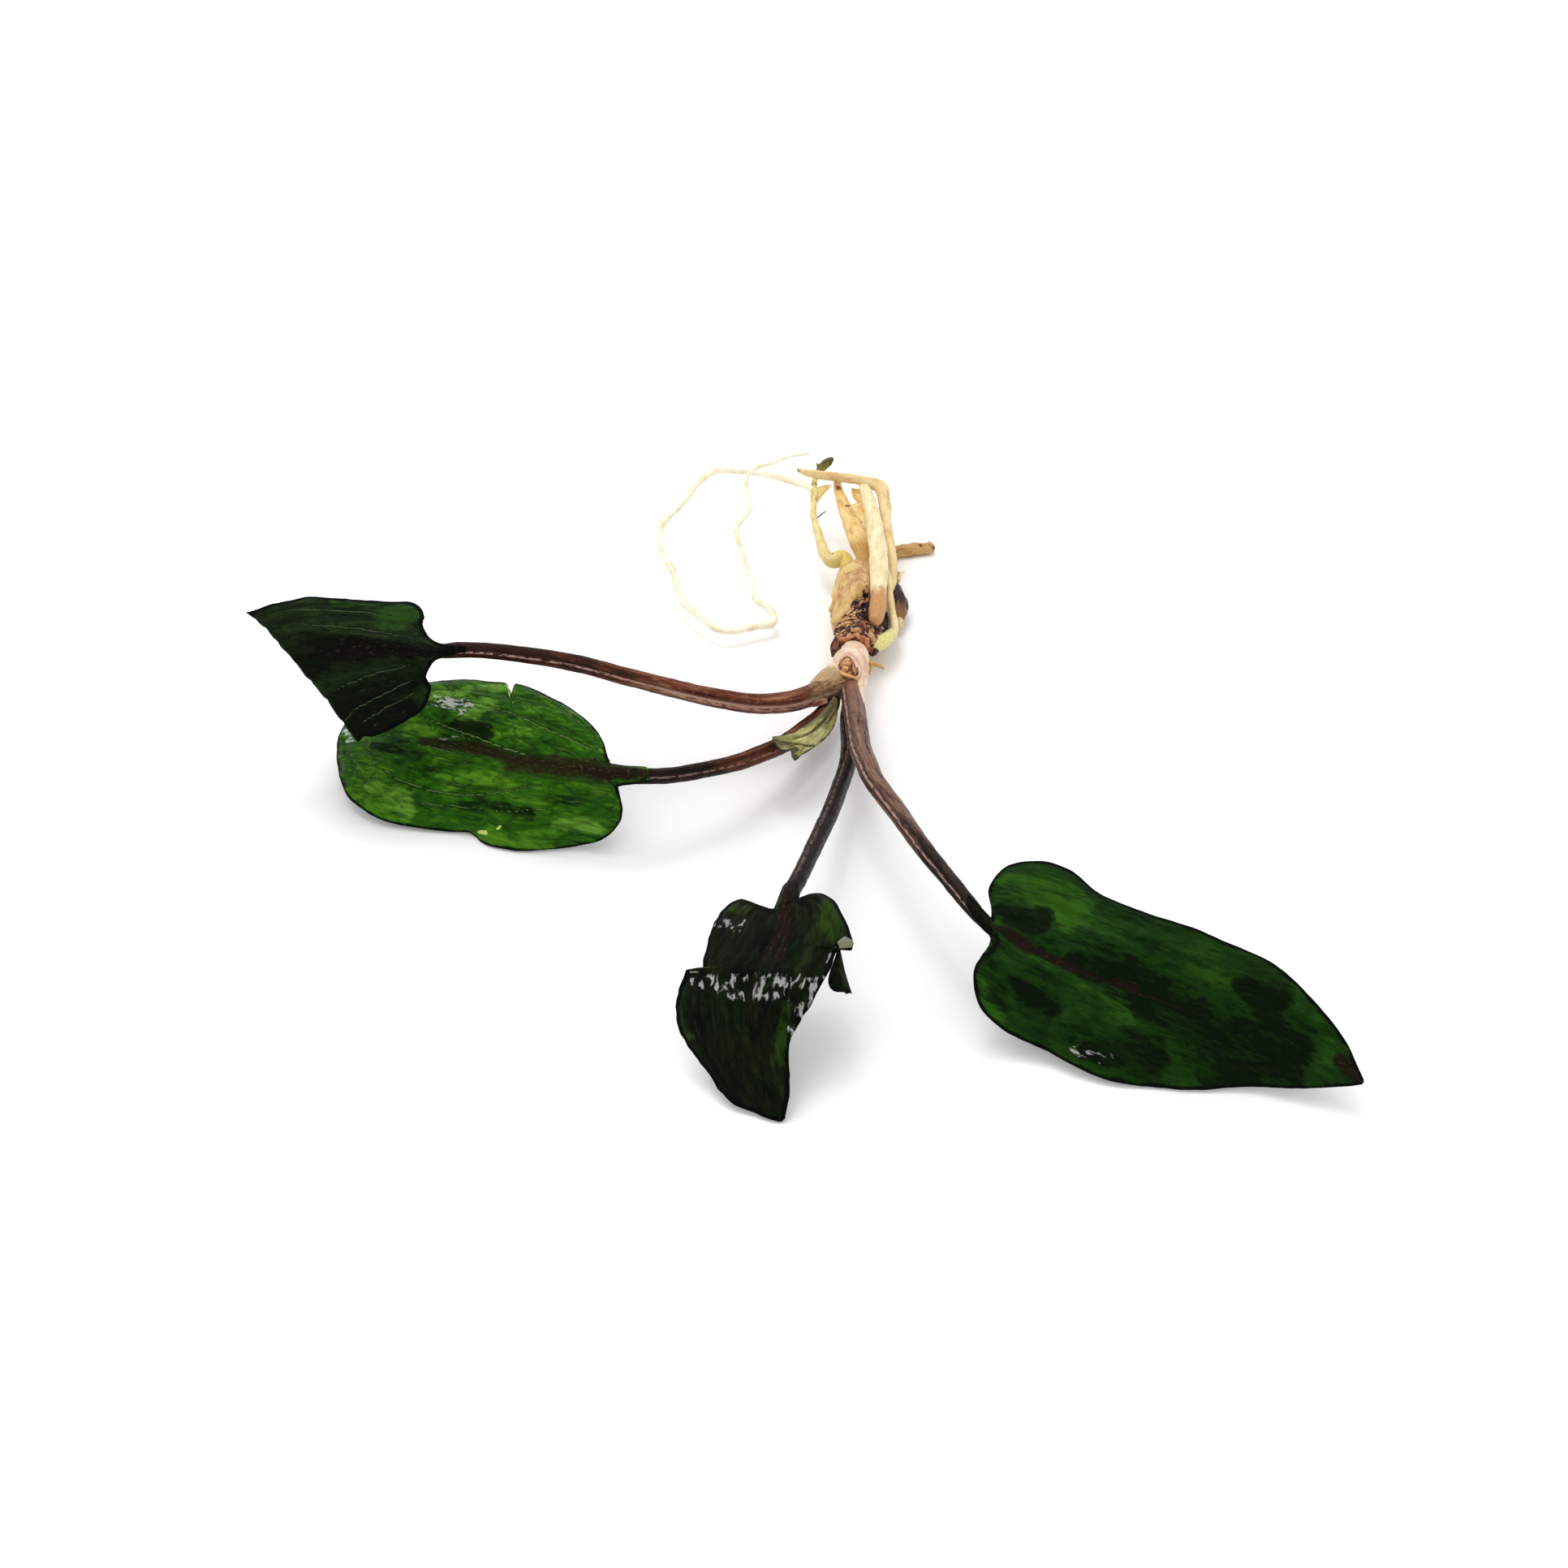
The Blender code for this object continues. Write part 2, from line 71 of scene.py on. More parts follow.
LEAVES = {
    "leaf_right": {
        "nodes": ("blade_right", "stalk_right"),
        "slot": "leaf_green",
        "finish": "right",
        "arch": 1.0,
        "ruffle": 0.35,
        "rib": [[(22.5, -38.5, 10.2), (29, -42.5, 9.2), (37, -46, 8.2), (45, -49, 7), (53, -52.5, 5.6),
                 (59.5, -55.5, 4.5)]],
        "left": [[(22.5, -37.5, 10.5), (22.5, -35.5, 11), (22.5, -33.5, 12.2), (24.5, -31.5, 13.2),
                  (28, -31.5, 13.8), (31, -33, 13.8), (33.5, -36, 13.5), (36, -38, 13.5),
                  (40.5, -40.5, 13.2), (45.5, -42.5, 12.6), (50.5, -45, 11.8), (54, -48.5, 10.5),
                  (57.5, -52, 7.8), (59.5, -55.3, 4.7)]],
        "right": [[(22.5, -39.5, 9.8), (22, -41.2, 9.5), (20.5, -42.5, 9), (20, -44.5, 8),
                   (20.8, -46, 5.8), (23.5, -47, 3.4), (27.5, -48.5, 2.2), (30.5, -50.5, 1.7),
                   (34.5, -52, 1), (41, -52.5, 0.5), (48.5, -53, 1.2), (53.5, -54, 2.2),
                   (57.5, -55, 3.4), (59.3, -55.6, 4.3)]],
        "stalk": [(8.4, 15.5, 4.8, 1), (8.5, 12.5, 5.4, 1.25), (8.5, 10.3, 6.3, 1.35),
                  (8.7, 4.8, 7.7, 1.4), (9.1, -4.5, 9.2, 1.35), (9.7, -8.5, 9.8, 1.3),
                  (10.4, -12.1, 10.2, 1.25), (11.6, -15.7, 10.6, 1.2), (12.9, -19.2, 11, 1.15),
                  (15.2, -25.5, 11.4, 1.05), (17.8, -30.8, 11.2, 0.95), (20.1, -35.1, 10.8, 0.9),
                  (21.5, -37.4, 10.4, 0.9)],
        "grooves": ((0.25, 0.16), (0.85, 0.13), (2.3, 0.05)),
        "veins": ((0.0, 0.27), (0.0, 0.52), (0.0, 0.78)),
        "highlight_stripes": ((0.56, 0.12), (1.5, 0.04)),
        "tip": 27.0,
        "foot": 20.0,
        "rib_width": 0.35,
        "wavy": 0.3,
        "bright": [(2.2, (24, -34), (31, -37.3)), (1.4, (20.9, -44.5, 7.5), (22.2, -46, 5)),
                   (0.3, (31.2, -36), (30.3, -39.5))],
        "blot": [(1.4, (23.4, -36.7), (27, -38.7)), (1.5, (30.5, -42.6), (37.5, -45.4)),
                 (2.0, (36.5, -45.9), (43, -49)), (2.4, (42, -48.6), (47, -51), (53, -52.3)),
                 (1.4, (47.5, -47), (51, -48.5)), (1.3, (31.5, -49.6), (39, -50.8)), (1.2, (24, -43.6), (28, -46))],
        "brown": [(0.7, (22.8, -38.6), (26, -40.6)), (0.45, (26, -40.6), (30.5, -43.3)),
                  (0.4, (34.5, -44.9), (36.8, -45.8)), (0.7, (57, -53.6), (59.3, -55))],
        # The pale spot at the joint is a painted highlight; the other pale spot is the torn edge at a nick.
        "pale": [(0.16, (49.4, -53.1, 1.4)), (0.2, (22.2, -41, 9.7))],
        "wet": [(0.6, (30.3, -49.4, 3), (33.8, -50, 2.8))],
        "seed": 3,
    },
    "leaf_near_left": {
        "nodes": ("blade_near_left", "stalk_near_left"),
        "slot": "leaf_green",
        "finish": "near_left",
        "arch": 1.2,
        "ruffle": 0.3,
        "rib": [[(-19.5, -13, 11.5), (-25, -11, 11), (-35.5, -6, 9.2), (-46.5, 1, 7), (-52, 5.5, 5),
                 (-55, 8.5, 3.5)]],
        "left": [[(-19.3, -14, 10.4), (-18.8, -14.8, 8), (-19.5, -14.2, 5), (-21.5, -14, 2.6),
                  (-25.5, -13.3, 1), (-30.5, -13.5, 0.6), (-35, -12.7, 0.5), (-38, -10.6, 0.5),
                  (-43.5, -9.7, 0.8), (-47.5, -9, 1.2), (-51, -7.5, 2), (-53.5, -4.5, 2.6),
                  (-55, 0.5, 3), (-55.5, 5.3, 3.3), (-55.2, 8.2, 3.4)]],
        "right": [[(-20, -11.8, 12), (-21.5, -8, 12.5), (-23, -5, 12.8), (-26, -1, 12.6),
                   (-31.5, 3.7, 12), (-36.5, 6.2, 11), (-43, 8.5, 9.5), (-49, 9.3, 7.5),
                   (-53, 9.6, 5), (-54.8, 8.9, 3.7)]],
        "stalk": [(7.4, 15.5, 4.8, 0.9), (6.3, 13, 4, 1), (5.9, 10.7, 4.2, 1.1), (4.4, 7.2, 4.8, 1.15),
                  (2.4, 3.9, 5.4, 1.15), (-0.1, -0.3, 6.4, 1.1), (-3.5, -4.3, 7.6, 1.05),
                  (-6.4, -7.2, 8.6, 1), (-13, -11.1, 10, 0.95), (-18.8, -13.1, 11.4, 0.95)],
        "grooves": ((1.2, 0.12), (2.2, 0.12)),
        "veins": ((0.0, 0.2), (0.0, 0.5), (0.0, 0.78)),
        "highlight_stripes": ((2.7, 0.06),),
        "tip": 22.0,
        "rib_width": 0.3,
        "wavy": 0.5,
        "nicks": [(1, (-33.5, 4.8, 11.6), 0.8, 2.6), (0, (-38, -10.6, 0.5), 2.0, 0.4)],
        "bright": [(1.6, (-38.4, -1), (-36, 0.6)), (0.9, (-44, 5.6), (-40, 3.6)), (0.6, (-21.4, -8.6, 12.5), (-20.6, -10.4, 12.3)),
                   (1.0, (-27, -13, 4), (-22, -13.4, 4)), (1.0, (-40, 5), (-35, 4)), (1.0, (-50, -5.5), (-45, -8))],
        "blot": [(0.14, (-22.5, -7.2, 12.7), (-21.9, -11.2, 12)), (1.2, (-41, -0.4), (-36, -3.4)),
                 (0.9, (-50, 0), (-44, -4)), (0.9, (-36, -9.6, 4.6), (-30, -11.4, 5))],
        "brown": [(1.3, (-18.6, -13, 11.6), (-22, -11.8, 11.3)), (1.3, (-21, -12, 11.4), (-27, -10.2, 10.8)),
                  (1.1, (-25, -11), (-32, -7.9)), (0.8, (-30, -8.8), (-37.5, -4.6), (-44, -1.4))],
        "line": [(0.11, (-42.5, 4), (-35.9, 0.7), (-28.5, -5), (-22.4, -9.6)),
                 (0.12, (-44.3, 2.2), (-39, -2), (-33.9, -5.7), (-30.3, -8)),
                 (0.09, (-51, -1.6, 3.6), (-43.4, -6.3, 4.3), (-36, -9, 5.5), (-28, -10.8, 8.6)),
                 (0.07, (-44.4, -8.3, 3.6), (-38, -10.2, 4.2), (-33.3, -11.4, 4.9), (-27, -12, 6)),
                 (0.1, (-25.5, -12.3, 7.5), (-21.5, -12.4, 9)), (0.08, (-47, 4.5), (-38, 3), (-34, 1)),
                 (0.07, (-48, -0.5), (-44, -2), (-40, -4.4)), (0.07, (-29, 0.5), (-24.5, -4.5), (-22, -8))],
        "pale": [(0.12, (-34.1, 5, 11.6), (-33.5, 3.6, 11.8), (-33.2, 2.2, 12)),
                 (0.1, (-32.9, 4.5, 11.9), (-33.2, 3.2, 11.9)), (0.07, (-33.2, 2.2, 12), (-32.7, 0.4, 12)),
                 (0.22, (-36.6, -11.3, 1.4), (-35.2, -11.6, 1.7)), (0.18, (-33.9, -12.1, 2.8), (-33.5, -12, 3.2))],
        "wet": [(0.9, (-43.8, 5), (-38.6, 1.2)), (0.6, (-55, 6.2, 3.7), (-53.5, 3, 4)), (0.3, (-43, -0.8), (-38, -3.8))],
        "seed": 5,
    },
    "leaf_far_left": {
        "nodes": ("blade_far_left", "stalk_far_left"),
        "slot": "leaf_dark",
        "finish": "far_left",
        "arch": 0.8,
        "ruffle": 0.25,
        "crease": 0.6,
        "rib": [[(-41.5, -3, 22), (-47, -2.5, 21.8), (-52, -1.8, 21), (-58, -0.8, 19.4)],
                [(-58, -0.8, 19.4), (-53.5, 2.3, 15.6), (-49, 4.4, 12.4), (-45.5, 5.5, 10)]],
        "left": [[(-40.3, -3.4, 21.2), (-41.4, -4, 20.3), (-41.9, -4.4, 19), (-41.4, -4.6, 17.4), (-42.5, -6, 15.6),
                  (-45.5, -7.6, 14.4), (-48, -8.3, 13.6), (-50, -8.6, 13)],
                 [(-50, -8.6, 13), (-49.2, -4, 11.4), (-47.5, 0.5, 10.2), (-45.7, 5.2, 9.9)]],
        "right": [[(-40.5, -2.2, 22.7), (-41.8, -1.3, 23.4), (-42.4, 0, 24.1), (-42.4, 1.2, 24.6), (-44, 2.7, 25),
                   (-47, 2.8, 25), (-54.5, 4, 25), (-59, 3, 25), (-63.4, 2.1, 24)],
                  [(-63.4, 2.1, 24), (-57, 4.2, 20.4), (-51, 5.6, 15.8), (-45.3, 5.8, 10.1)]],
        "stalk": [(8.2, 15.4, 4.6, 1), (7, 13.9, 5.3, 1.5), (5.5, 12, 6, 1.6),
                  (3.4, 9.8, 6.5, 1.42), (1, 8, 6.9, 1.35), (-1.6, 6.8, 7.4, 1.3), (-4.1, 5.7, 8.2, 1.25),
                  (-7.6, 4.8, 9.5, 1.2), (-11.5, 4.1, 11, 1.15), (-19, 3.2, 14, 1.1),
                  (-26, 2.1, 17, 1.05), (-35, 0, 20, 0.95), (-40.8, -2.7, 21.9, 0.95)],
        "grooves": ((2.66, 0.1), (3.62, 0.08), (1.7, 0.05)),
        "veins": ((0.0, 0.3), (0.0, 0.55), (0.0, 0.8)),
        "highlight_stripes": ((2.95, 0.06), (1.3, 0.04)),
        "tip": 40.0,
        "foot": 15.0,
        "rib_width": 0.75,
        "wavy": 0.6,
        "band": (2.8, 3.5, 7.0, 34.0),
        "nicks": [(0, (-49, -8.4, 13.3), 0.8, 0.5)],
        # The bright strokes paint the upper lobe lighter where the light falls on it.
        "bright": [(1.8, (-43.6, 0.8), (-46, 1.6)), (0.8, (-47, 2.4), (-53, 3))],
        "blot": [(2.0, (-43.5, -4.6, 19), (-51, -5.5, 16.5)), (2.0, (-44, -6, 16), (-52, -8, 14)),
                 (1.3, (-47, -2.6), (-58, -1.6))],
        "brown": [(0.6, (-42.4, -3), (-52, -1.4)), (0.4, (-45, -2.2), (-50, -2.8))],
        "line": [(0.1, (-44.3, -1.4, 23), (-50, 0, 23), (-57, 0.8, 23.3)),
                 (0.1, (-43.4, -4.5, 19), (-46, -5, 17.8), (-49.5, -6, 16.2), (-51.5, -7, 15)),
                 (0.1, (-46, 0.8, 24), (-51, 1.7, 24.4), (-58, 2.4, 24)),
                 (0.1, (-43.4, -5, 17.4), (-46.5, -6.2, 16.2), (-49.5, -7.4, 14.8)),
                 (0.1, (-43.8, -3.6, 20.4), (-48, -4, 19.4), (-52.6, -4.8, 17.8)),
                 (0.08, (-44.5, -6.4, 15.8), (-48, -7.6, 14.6)), (0.08, (-45, 1.9, 24.5), (-50, 2.6, 24.8))],
        "pale": [(0.2, (-54.2, 4))],
        "seed": 7,
    },
    "leaf_front": {
        "nodes": ("blade_front", "stalk_front"),
        "slot": "leaf_dark",
        "finish": "front",
        "arch": 0.8,
        "ruffle": 0.25,
        "crease": 0.5,
        "rib": [[(0.2, -39.4, 13.8), (-1, -43.8, 13.4), (-3, -47.6, 12)],
                [(-3, -47.6, 12), (-3.4, -49.6, 9.6), (-3, -52, 6), (-1.8, -54.5, 2.8),
                 (-0.2, -57.2, 0.5)]],
        "left": [[(1.6, -38.5, 13.6), (2.6, -36.5, 13.4), (4.7, -36.6, 13.2), (6.4, -39.4, 12.9),
                  (7.3, -43.1, 11.8), (5.7, -43.8, 12), (5.1, -45.7, 11.8), (4.3, -47.5, 11.7)],
                 [(4.3, -47.5, 11.7), (2.9, -49.2, 10), (1.2, -51.5, 8), (0.6, -53.5, 6.4),
                  (0.6, -55.7, 3.4), (0.1, -57, 0.8)]],
        "right": [[(-1.2, -39.5, 13.5), (-2.5, -38.8, 13.2), (-4.7, -36.5, 12.6), (-6.6, -38.2, 12.4),
                   (-8, -42.5, 12.2), (-8.4, -45.4, 12.1), (-8.4, -46.9, 12)],
                  [(-10.2, -46.8, 12), (-11.2, -47.3, 8), (-11, -48.2, 5), (-8.6, -51.3, 3),
                   (-5.6, -55.1, 1.3), (-2.3, -56.7, 0.7), (-0.6, -57.2, 0.5)]],
        "stalk": [(8.6, 15.5, 4.6, 0.8), (8.5, 13, 3.9, 0.9), (8.2, 10, 4, 1), (8, 7, 4.2, 1),
                  (8, 1.4, 5, 1), (7.7, -3, 5.6, 1.05), (7, -7, 6.2, 1.05), (5.4, -15.4, 8, 1.05),
                  (3.5, -23.8, 10, 1), (1.7, -31.8, 12, 0.95), (0.1, -37.8, 13.5, 0.95)],
        "grooves": ((1.0, 0.14), (1.9, 0.14), (0.3, 0.1)),
        "veins": ((0.0, 0.27), (0.0, 0.55), (0.0, 0.8)),
        "highlight_stripes": ((1.45, 0.07), (0.85, 0.05)),
        "both": True,
        "flaps": [([(5.9, -43.6, 12), (6.4, -45.6, 10.6), (7.1, -46.8, 8.7)],
                   [(5.5, -43.9, 11.9), (4.6, -47.4, 11.4), (5.1, -48.1, 10.4), (6.4, -47.2, 9.3)], 0.5, 0.0),
                  ([(5.5, -42.9, 12.5), (6.3, -42.3, 12.7), (7.2, -42.6, 12.4)],
                   [(5.8, -43.7, 12.3), (6.5, -43.6, 12.3), (7.2, -43.3, 12.1)], 0.0, 9.0)],
        "rib_width": 0.4,
        "bright": [(1.1, (-5.4, -38.4), (-4.4, -38.6)), (1.5, (4.4, -38.6), (5.5, -41.5)), (0.9, (-9.6, -49.3, 5)),
                   (1.0, (0.2, -49.4, 9.8), (-0.2, -53, 6))],
        "brown": [(0.9, (0.5, -39), (0.3, -43)), (0.5, (0.3, -43), (-0.4, -46))],
        "pale": [(0.09, (-10, -46.8, 12), (-8.9, -46.9, 12)), (0.14, (7, -42.3, 11.8))],
        "torn": [(0.25, (-10.9, -49, 4.4))],
        "wet": [(0.8, (-7.1, -40), (-4.9, -41.4)), (1.1, (-9, -47.4, 11), (-3, -48.2, 11), (3.6, -47.9, 11)),
                (0.9, (3.6, -48.4, 10.8), (1.2, -51.2, 8.2)), (0.5, (4.6, -45.4, 12), (5.4, -44.2, 12))],
        "seed": 11,
    },
}

YOUNG_LEAF = {
    "underside": 0.0,
    "rib_width": 0.5,
    "arch": 0.25,
    "ruffle": 0.1,
    "rib": [[(6.5, 8.6, 6.9), (5.1, 3, 7.8), (3, -1, 8.5), (0.8, -2.9, 8.9), (-1.4, -2.9, 9.1)]],
    "left": [[(6.8, 8, 6.6), (6.7, 6.3, 6.6), (6.2, 3.2, 6.8), (4.9, -0.4, 7.2), (3.2, -3, 7.6), (2, -4.4, 7.8),
              (1.3, -5.4, 7.8), (0.6, -4.6, 8.2), (-0.5, -4.2, 8.6), (-1.3, -3.4, 9)]],
    "right": [[(6.2, 8.8, 7), (4.3, 4, 7.7), (2.2, 0.3, 8.4), (0.2, -1.8, 8.9), (-1.4, -2.5, 9.1)]],
    "veins": ((0.0, 0.4), (0.0, 0.75)),
    "nicks": [(0, (0.6, -4.6, 8.2), 0.5, 0.5)],
    "line": [(0.17, (6.5, 7.4, 7), (5.1, 3, 7.8), (3, -1, 8.5), (1.2, -2.6, 8.9)),
             (0.14, (5.9, 7.2, 7.2), (4.7, 4.4, 7.7), (3.5, 2.2, 8.1)), (0.15, (3.8, -2.2, 7.5), (2.4, -2.9, 8), (0.9, -3.3, 8.5))],
    "blot": [(1.5, (0.2, -3.4), (-1.6, -2.9)), (0.9, (1.3, -5.5), (0.9, -4.2)), (0.5, (6.6, 8.6), (6.4, 6.5))],
    "brown": [(0.8, (6.4, 8.6, 6.8), (5, 4.8, 7.5), (2.6, 0.4, 8.3))],
    "bright": [(0.9, (4.8, 0.6), (2.6, -2.6))],
    "seed": 13,
}

# Each root: the points of its middle with the radius there. The first ones lie in what it grows from.
# Knobs are (how far along, angle, height, width), dots (how far along, angle, width), rings (spacing,
# depth, start, stop), and tint gives the stretches with the skin's second colour.
ROOTS = {
    "green_root": {
        "node": "root_green",
        "slot": "root_green",
        "skin": "green",
        "line": [(9.4, 41.4, 4.2, 0.8), (8.7, 43.6, 4.5, 1.1), (8, 44.6, 4.8, 1.15), (6.6, 43.9, 4.9, 0.95),
                 (5.6, 45.4, 5.4, 0.78), (4.8, 48.4, 6.2, 0.6), (4.2, 52.9, 7.2, 0.48), (4.3, 57, 8, 0.52),
                 (4.4, 60.8, 8, 0.42), (5, 62.6, 8.3, 0.45)],
        "knobs": ((13.4, 1.6, 0.2, 0.3), (17.3, 1.6, 0.25, 0.8), (4.4, 1.2, 0.12, 1.0)),
        "dots": ((17.6, 0.6, 0.5), (13.2, 0.5, 0.25), (21.0, 1.0, 0.6)),
        "tint": ((-3.0, 4.5), (20.6, 29.0)),
        "rough": 0.06,
        "shoots": (("hair", 1.0, [(4.7, 51.6, 7.2, 0.12), (5.4, 52.2, 7.5, 0.09), (5.9, 52.6, 7.7, 0.05)]),
                   ("olive", 0.5, [(4.9, 62.2, 8.3, 0.4), (5.6, 63.6, 8.5, 0.75), (6.4, 64.8, 8.7, 0.7),
                                   (7.1, 65.6, 8.9, 0.4)]),
                   ("olive", 0.5, [(5.1, 63.4, 8.5, 0.3), (4.7, 64.3, 8.8, 0.12)]),
                   ("olive", 0.5, [(6.6, 64.6, 8.8, 0.3), (7.3, 64.9, 8.9, 0.1)])),
        "bits": (("film", [(4.8, 58.2, 8.2), (5.8, 58.8, 8.3), (6.9, 58.7, 8.3)],
                  [(4.7, 54.6, 7.6), (5.4, 56.3, 7.9), (6.5, 58, 8.2)]),),
    },
    "long_white_root": {
        "node": "root_long_white",
        "slot": "root_pale",
        "skin": "white",
        "line": [(4.3, 57.4, 8, 0.4), (3.4, 58.8, 8.1, 0.5), (0.5, 60, 8.4, 0.5), (-3, 61, 8.8, 0.5),
                 (-6.5, 61.6, 9, 0.5), (-10, 61.2, 9, 0.5), (-12.2, 58.8, 8.7, 0.5),
                 (-13.6, 55.7, 8.2, 0.5), (-15.6, 52.7, 7.6, 0.55), (-17.1, 50.7, 6.8, 0.55),
                 (-17.5, 48.3, 6, 0.55), (-17, 44.7, 5.2, 0.5), (-15.5, 42.5, 4.6, 0.5),
                 (-14.7, 38.9, 4, 0.5), (-13.7, 35.8, 3.4, 0.55), (-11.4, 32.8, 3, 0.55),
                 (-9, 30.2, 2.7, 0.5), (-6.5, 30.3, 2.5, 0.5), (-4, 31.4, 2.4, 0.5),
                 (-1.8, 32.1, 2.4, 0.55), (-1.3, 33.4, 2.6, 0.5), (-2.3, 34.9, 3.2, 0.5),
                 (-3.8, 36, 3.8, 0.4), (-4.5, 39.4, 4.6, 0.35), (-5.5, 43.7, 5.2, 0.35),
                 (-6.6, 48.4, 6.2, 0.35), (-6.6, 50.1, 6.8, 0.4), (-5.5, 51.8, 7.4, 0.45),
                 (-4.8, 53.4, 7.9, 0.35), (-5.2, 55.5, 8.8, 0.3), (-5.3, 57.1, 9.8, 0.35),
                 (-4.5, 58.5, 10.8, 0.35), (-2.4, 59.6, 11.2, 0.3), (0.5, 61.5, 11.3, 0.25),
                 (3.7, 62.7, 11.3, 0.15)],
    },
    "bent_tan_root": {
        "node": "root_bent_tan",
        "slot": "root_tan",
        "skin": "tan",
        "line": [(1.9, 60.5, 9.9, 0.25), (3.2, 59.5, 9.9, 0.5), (5.1, 58.7, 9.9, 0.62),
                 (8.6, 58.6, 9.5, 0.68), (11.5, 58.2, 9.2, 0.72), (13.1, 57.8, 8.9, 0.9),
                 (13.9, 56.8, 8.7, 1),
                 (14.1, 54.7, 8.4, 0.9), (14.3, 50.1, 7.6, 0.75), (14.7, 45.6, 6.4, 0.7),
                 (14.9, 41.6, 4.9, 0.68), (14.6, 38.6, 3.7, 0.6), (13, 36.4, 3.4, 0.5)],
        "knobs": ((14.5, 1.9, 0.18, 0.5), (15.8, 1.2, 0.2, 0.4), (17.0, 2.0, 0.16, 0.5), (22.5, 1.6, 0.22, 0.35),
                  (19.5, 2.6, 0.12, 0.6)),
        "dots": ((3.4, 4.9, 0.6), (6.0, 5.2, 0.5), (8.2, 5.3, 0.5), (0.3, 0.0, 0.6)),
    },
    "flat_tan_root": {
        "node": "root_flat_tan",
        "slot": "root_tan",
        "skin": "flat",
        "line": [(7.6, 58.8, 9.1, 0.5), (7.8, 57.6, 7.8, 0.75), (8.6, 54.4, 7.2, 1.05), (9.9, 50.4, 6.5, 1.5),
                 (10.6, 46.8, 5.7, 1.4), (11, 43.9, 5.1, 0.9), (10.9, 41.6, 4.6, 0.6)],
        "flat": 0.4,
        "dots": ((1.2, 1.6, 0.5), (5.4, 1.9, 0.35), (9.4, 2.7, 0.4)),
        "knobs": ((9.2, 3.0, 0.25, 0.4), (10.2, 3.0, 0.2, 0.3), (11.4, 3.1, 0.12, 0.4)),
        "tint": ((13.0, 24.0),),
        "bits": (("flat", [(9.6, 58.5, 8), (9.7, 56.5, 7.7), (10.2, 55.1, 7.6), (9.4, 54.3, 7.4), (10.3, 52, 7.1),
                           (11.1, 49.6, 6.8)],
                  [(11.3, 58.1, 8.2), (11.5, 55.7, 7.8), (11.6, 52.1, 7.3), (11.8, 49, 6.9)]),),
    },
    "ringed_root": {
        "node": "root_ringed",
        "slot": "root_pale",
        "skin": "ringed",
        "line": [(11.1, 59.2, 8.6, 0.55), (11.6, 56.6, 8.5, 0.85), (12.2, 52.6, 8.2, 1.02),
                 (12.7, 46.9, 7.8, 1.22), (12.9, 40.6, 7.5, 1.28), (12.8, 35.5, 7.4, 1.2),
                 (12.5, 30.8, 7.2, 1.1), (12.2, 27.5, 7, 1.05), (12, 25.4, 6.9, 0.8)],
        "rings": (0.8, 0.05, 6.0, 26.0),
        "tint": ((27.5, 40.0),),
    },
    "thin_right_root": {
        "node": "root_thin_right",
        "slot": "root_pale",
        "skin": "thin",
        "line": [(11.2, 22.8, 4.7, 0.75), (12.6, 24.6, 4.4, 0.98), (13.8, 26.4, 4.1, 0.85),
                 (14.7, 28.2, 3.9, 0.58), (14.6, 31.3, 4.3, 0.52), (14.4, 34.4, 4.9, 0.48),
                 (14.2, 38, 5.7, 0.42), (14, 41, 6.1, 0.2)],
        "knobs": ((2.2, 1.4, 0.14, 0.4), (3.6, 0.8, 0.12, 0.4), (5.2, 1.8, 0.1, 0.5)),
        "dots": ((8.4, 1.2, 0.18), (1.0, 2.0, 0.4)),
        "tint": ((-3.0, 5.6),),
    },
    "stub_right_root": {
        "node": "root_stub_right",
        "slot": "root_tan",
        "skin": "stub",
        "line": [(10.8, 41.4, 3.2, 0.5), (11.6, 43.7, 2.5, 0.55), (12.6, 46.4, 1.8, 0.62),
                 (14, 49.6, 1.35, 0.75), (15.9, 52, 1.3, 0.88), (19, 52.9, 1.25, 0.88), (21.6, 53.4, 1.2, 0.75)],
        "knobs": ((17.2, 1.9, 0.3, 0.3), (15.0, 2.2, 0.1, 0.5)),
        "dots": ((15.8, 1.2, 0.3), (17.6, 0.6, 0.35), (18.3, 1.6, 0.25), (10.5, 0.8, 0.7), (18.6, 0.2, 0.4)),
        "rough": 0.1,
    },
    "dead_leaf_base": {
        "node": "old_leaf_base",
        "slot": "old_tissue",
        "skin": "dead",
        "line": [(12.4, 32, 2.8, 0.4), (13.9, 33, 2.1, 0.6), (15.3, 33.8, 2.2, 0.8), (15.75, 35.7, 2.5, 1.1),
                 (15.4, 38.2, 2.8, 1.02), (15.15, 40.2, 3.1, 0.8), (15.1, 41, 3.2, 0.6)],
        "tint": ((-3.0, 5.0),),
        "rough": 0.2,
        "shoots": (("stub", 0.8, [(15.1, 40.4, 3.2, 0.6), (15.3, 41.6, 3.5, 0.85), (15.6, 43, 3.6, 0.7)]),
                   ("tan", 0.8, [(14.7, 40.8, 3.6, 0.22), (14.5, 41.8, 4, 0.3), (14.5, 43.2, 4, 0.22)]),
                   ("tan", 0.8, [(15.7, 40.8, 3.7, 0.22), (16.1, 41.9, 4, 0.28), (16.6, 42.9, 3.8, 0.18)])),
    },
    "near_bud": {
        "node": "pale_bud",
        "slot": "root_pale",
        "skin": "bud",
        "line": [(15.4, 34.4, 2, 0.45), (15.6, 33.6, 1.95, 0.6), (15.6, 32.7, 1.8, 0.64), (15.55, 32, 1.7, 0.45)],
        "dots": ((0.2, 1.6, 0.5),),
    },
}

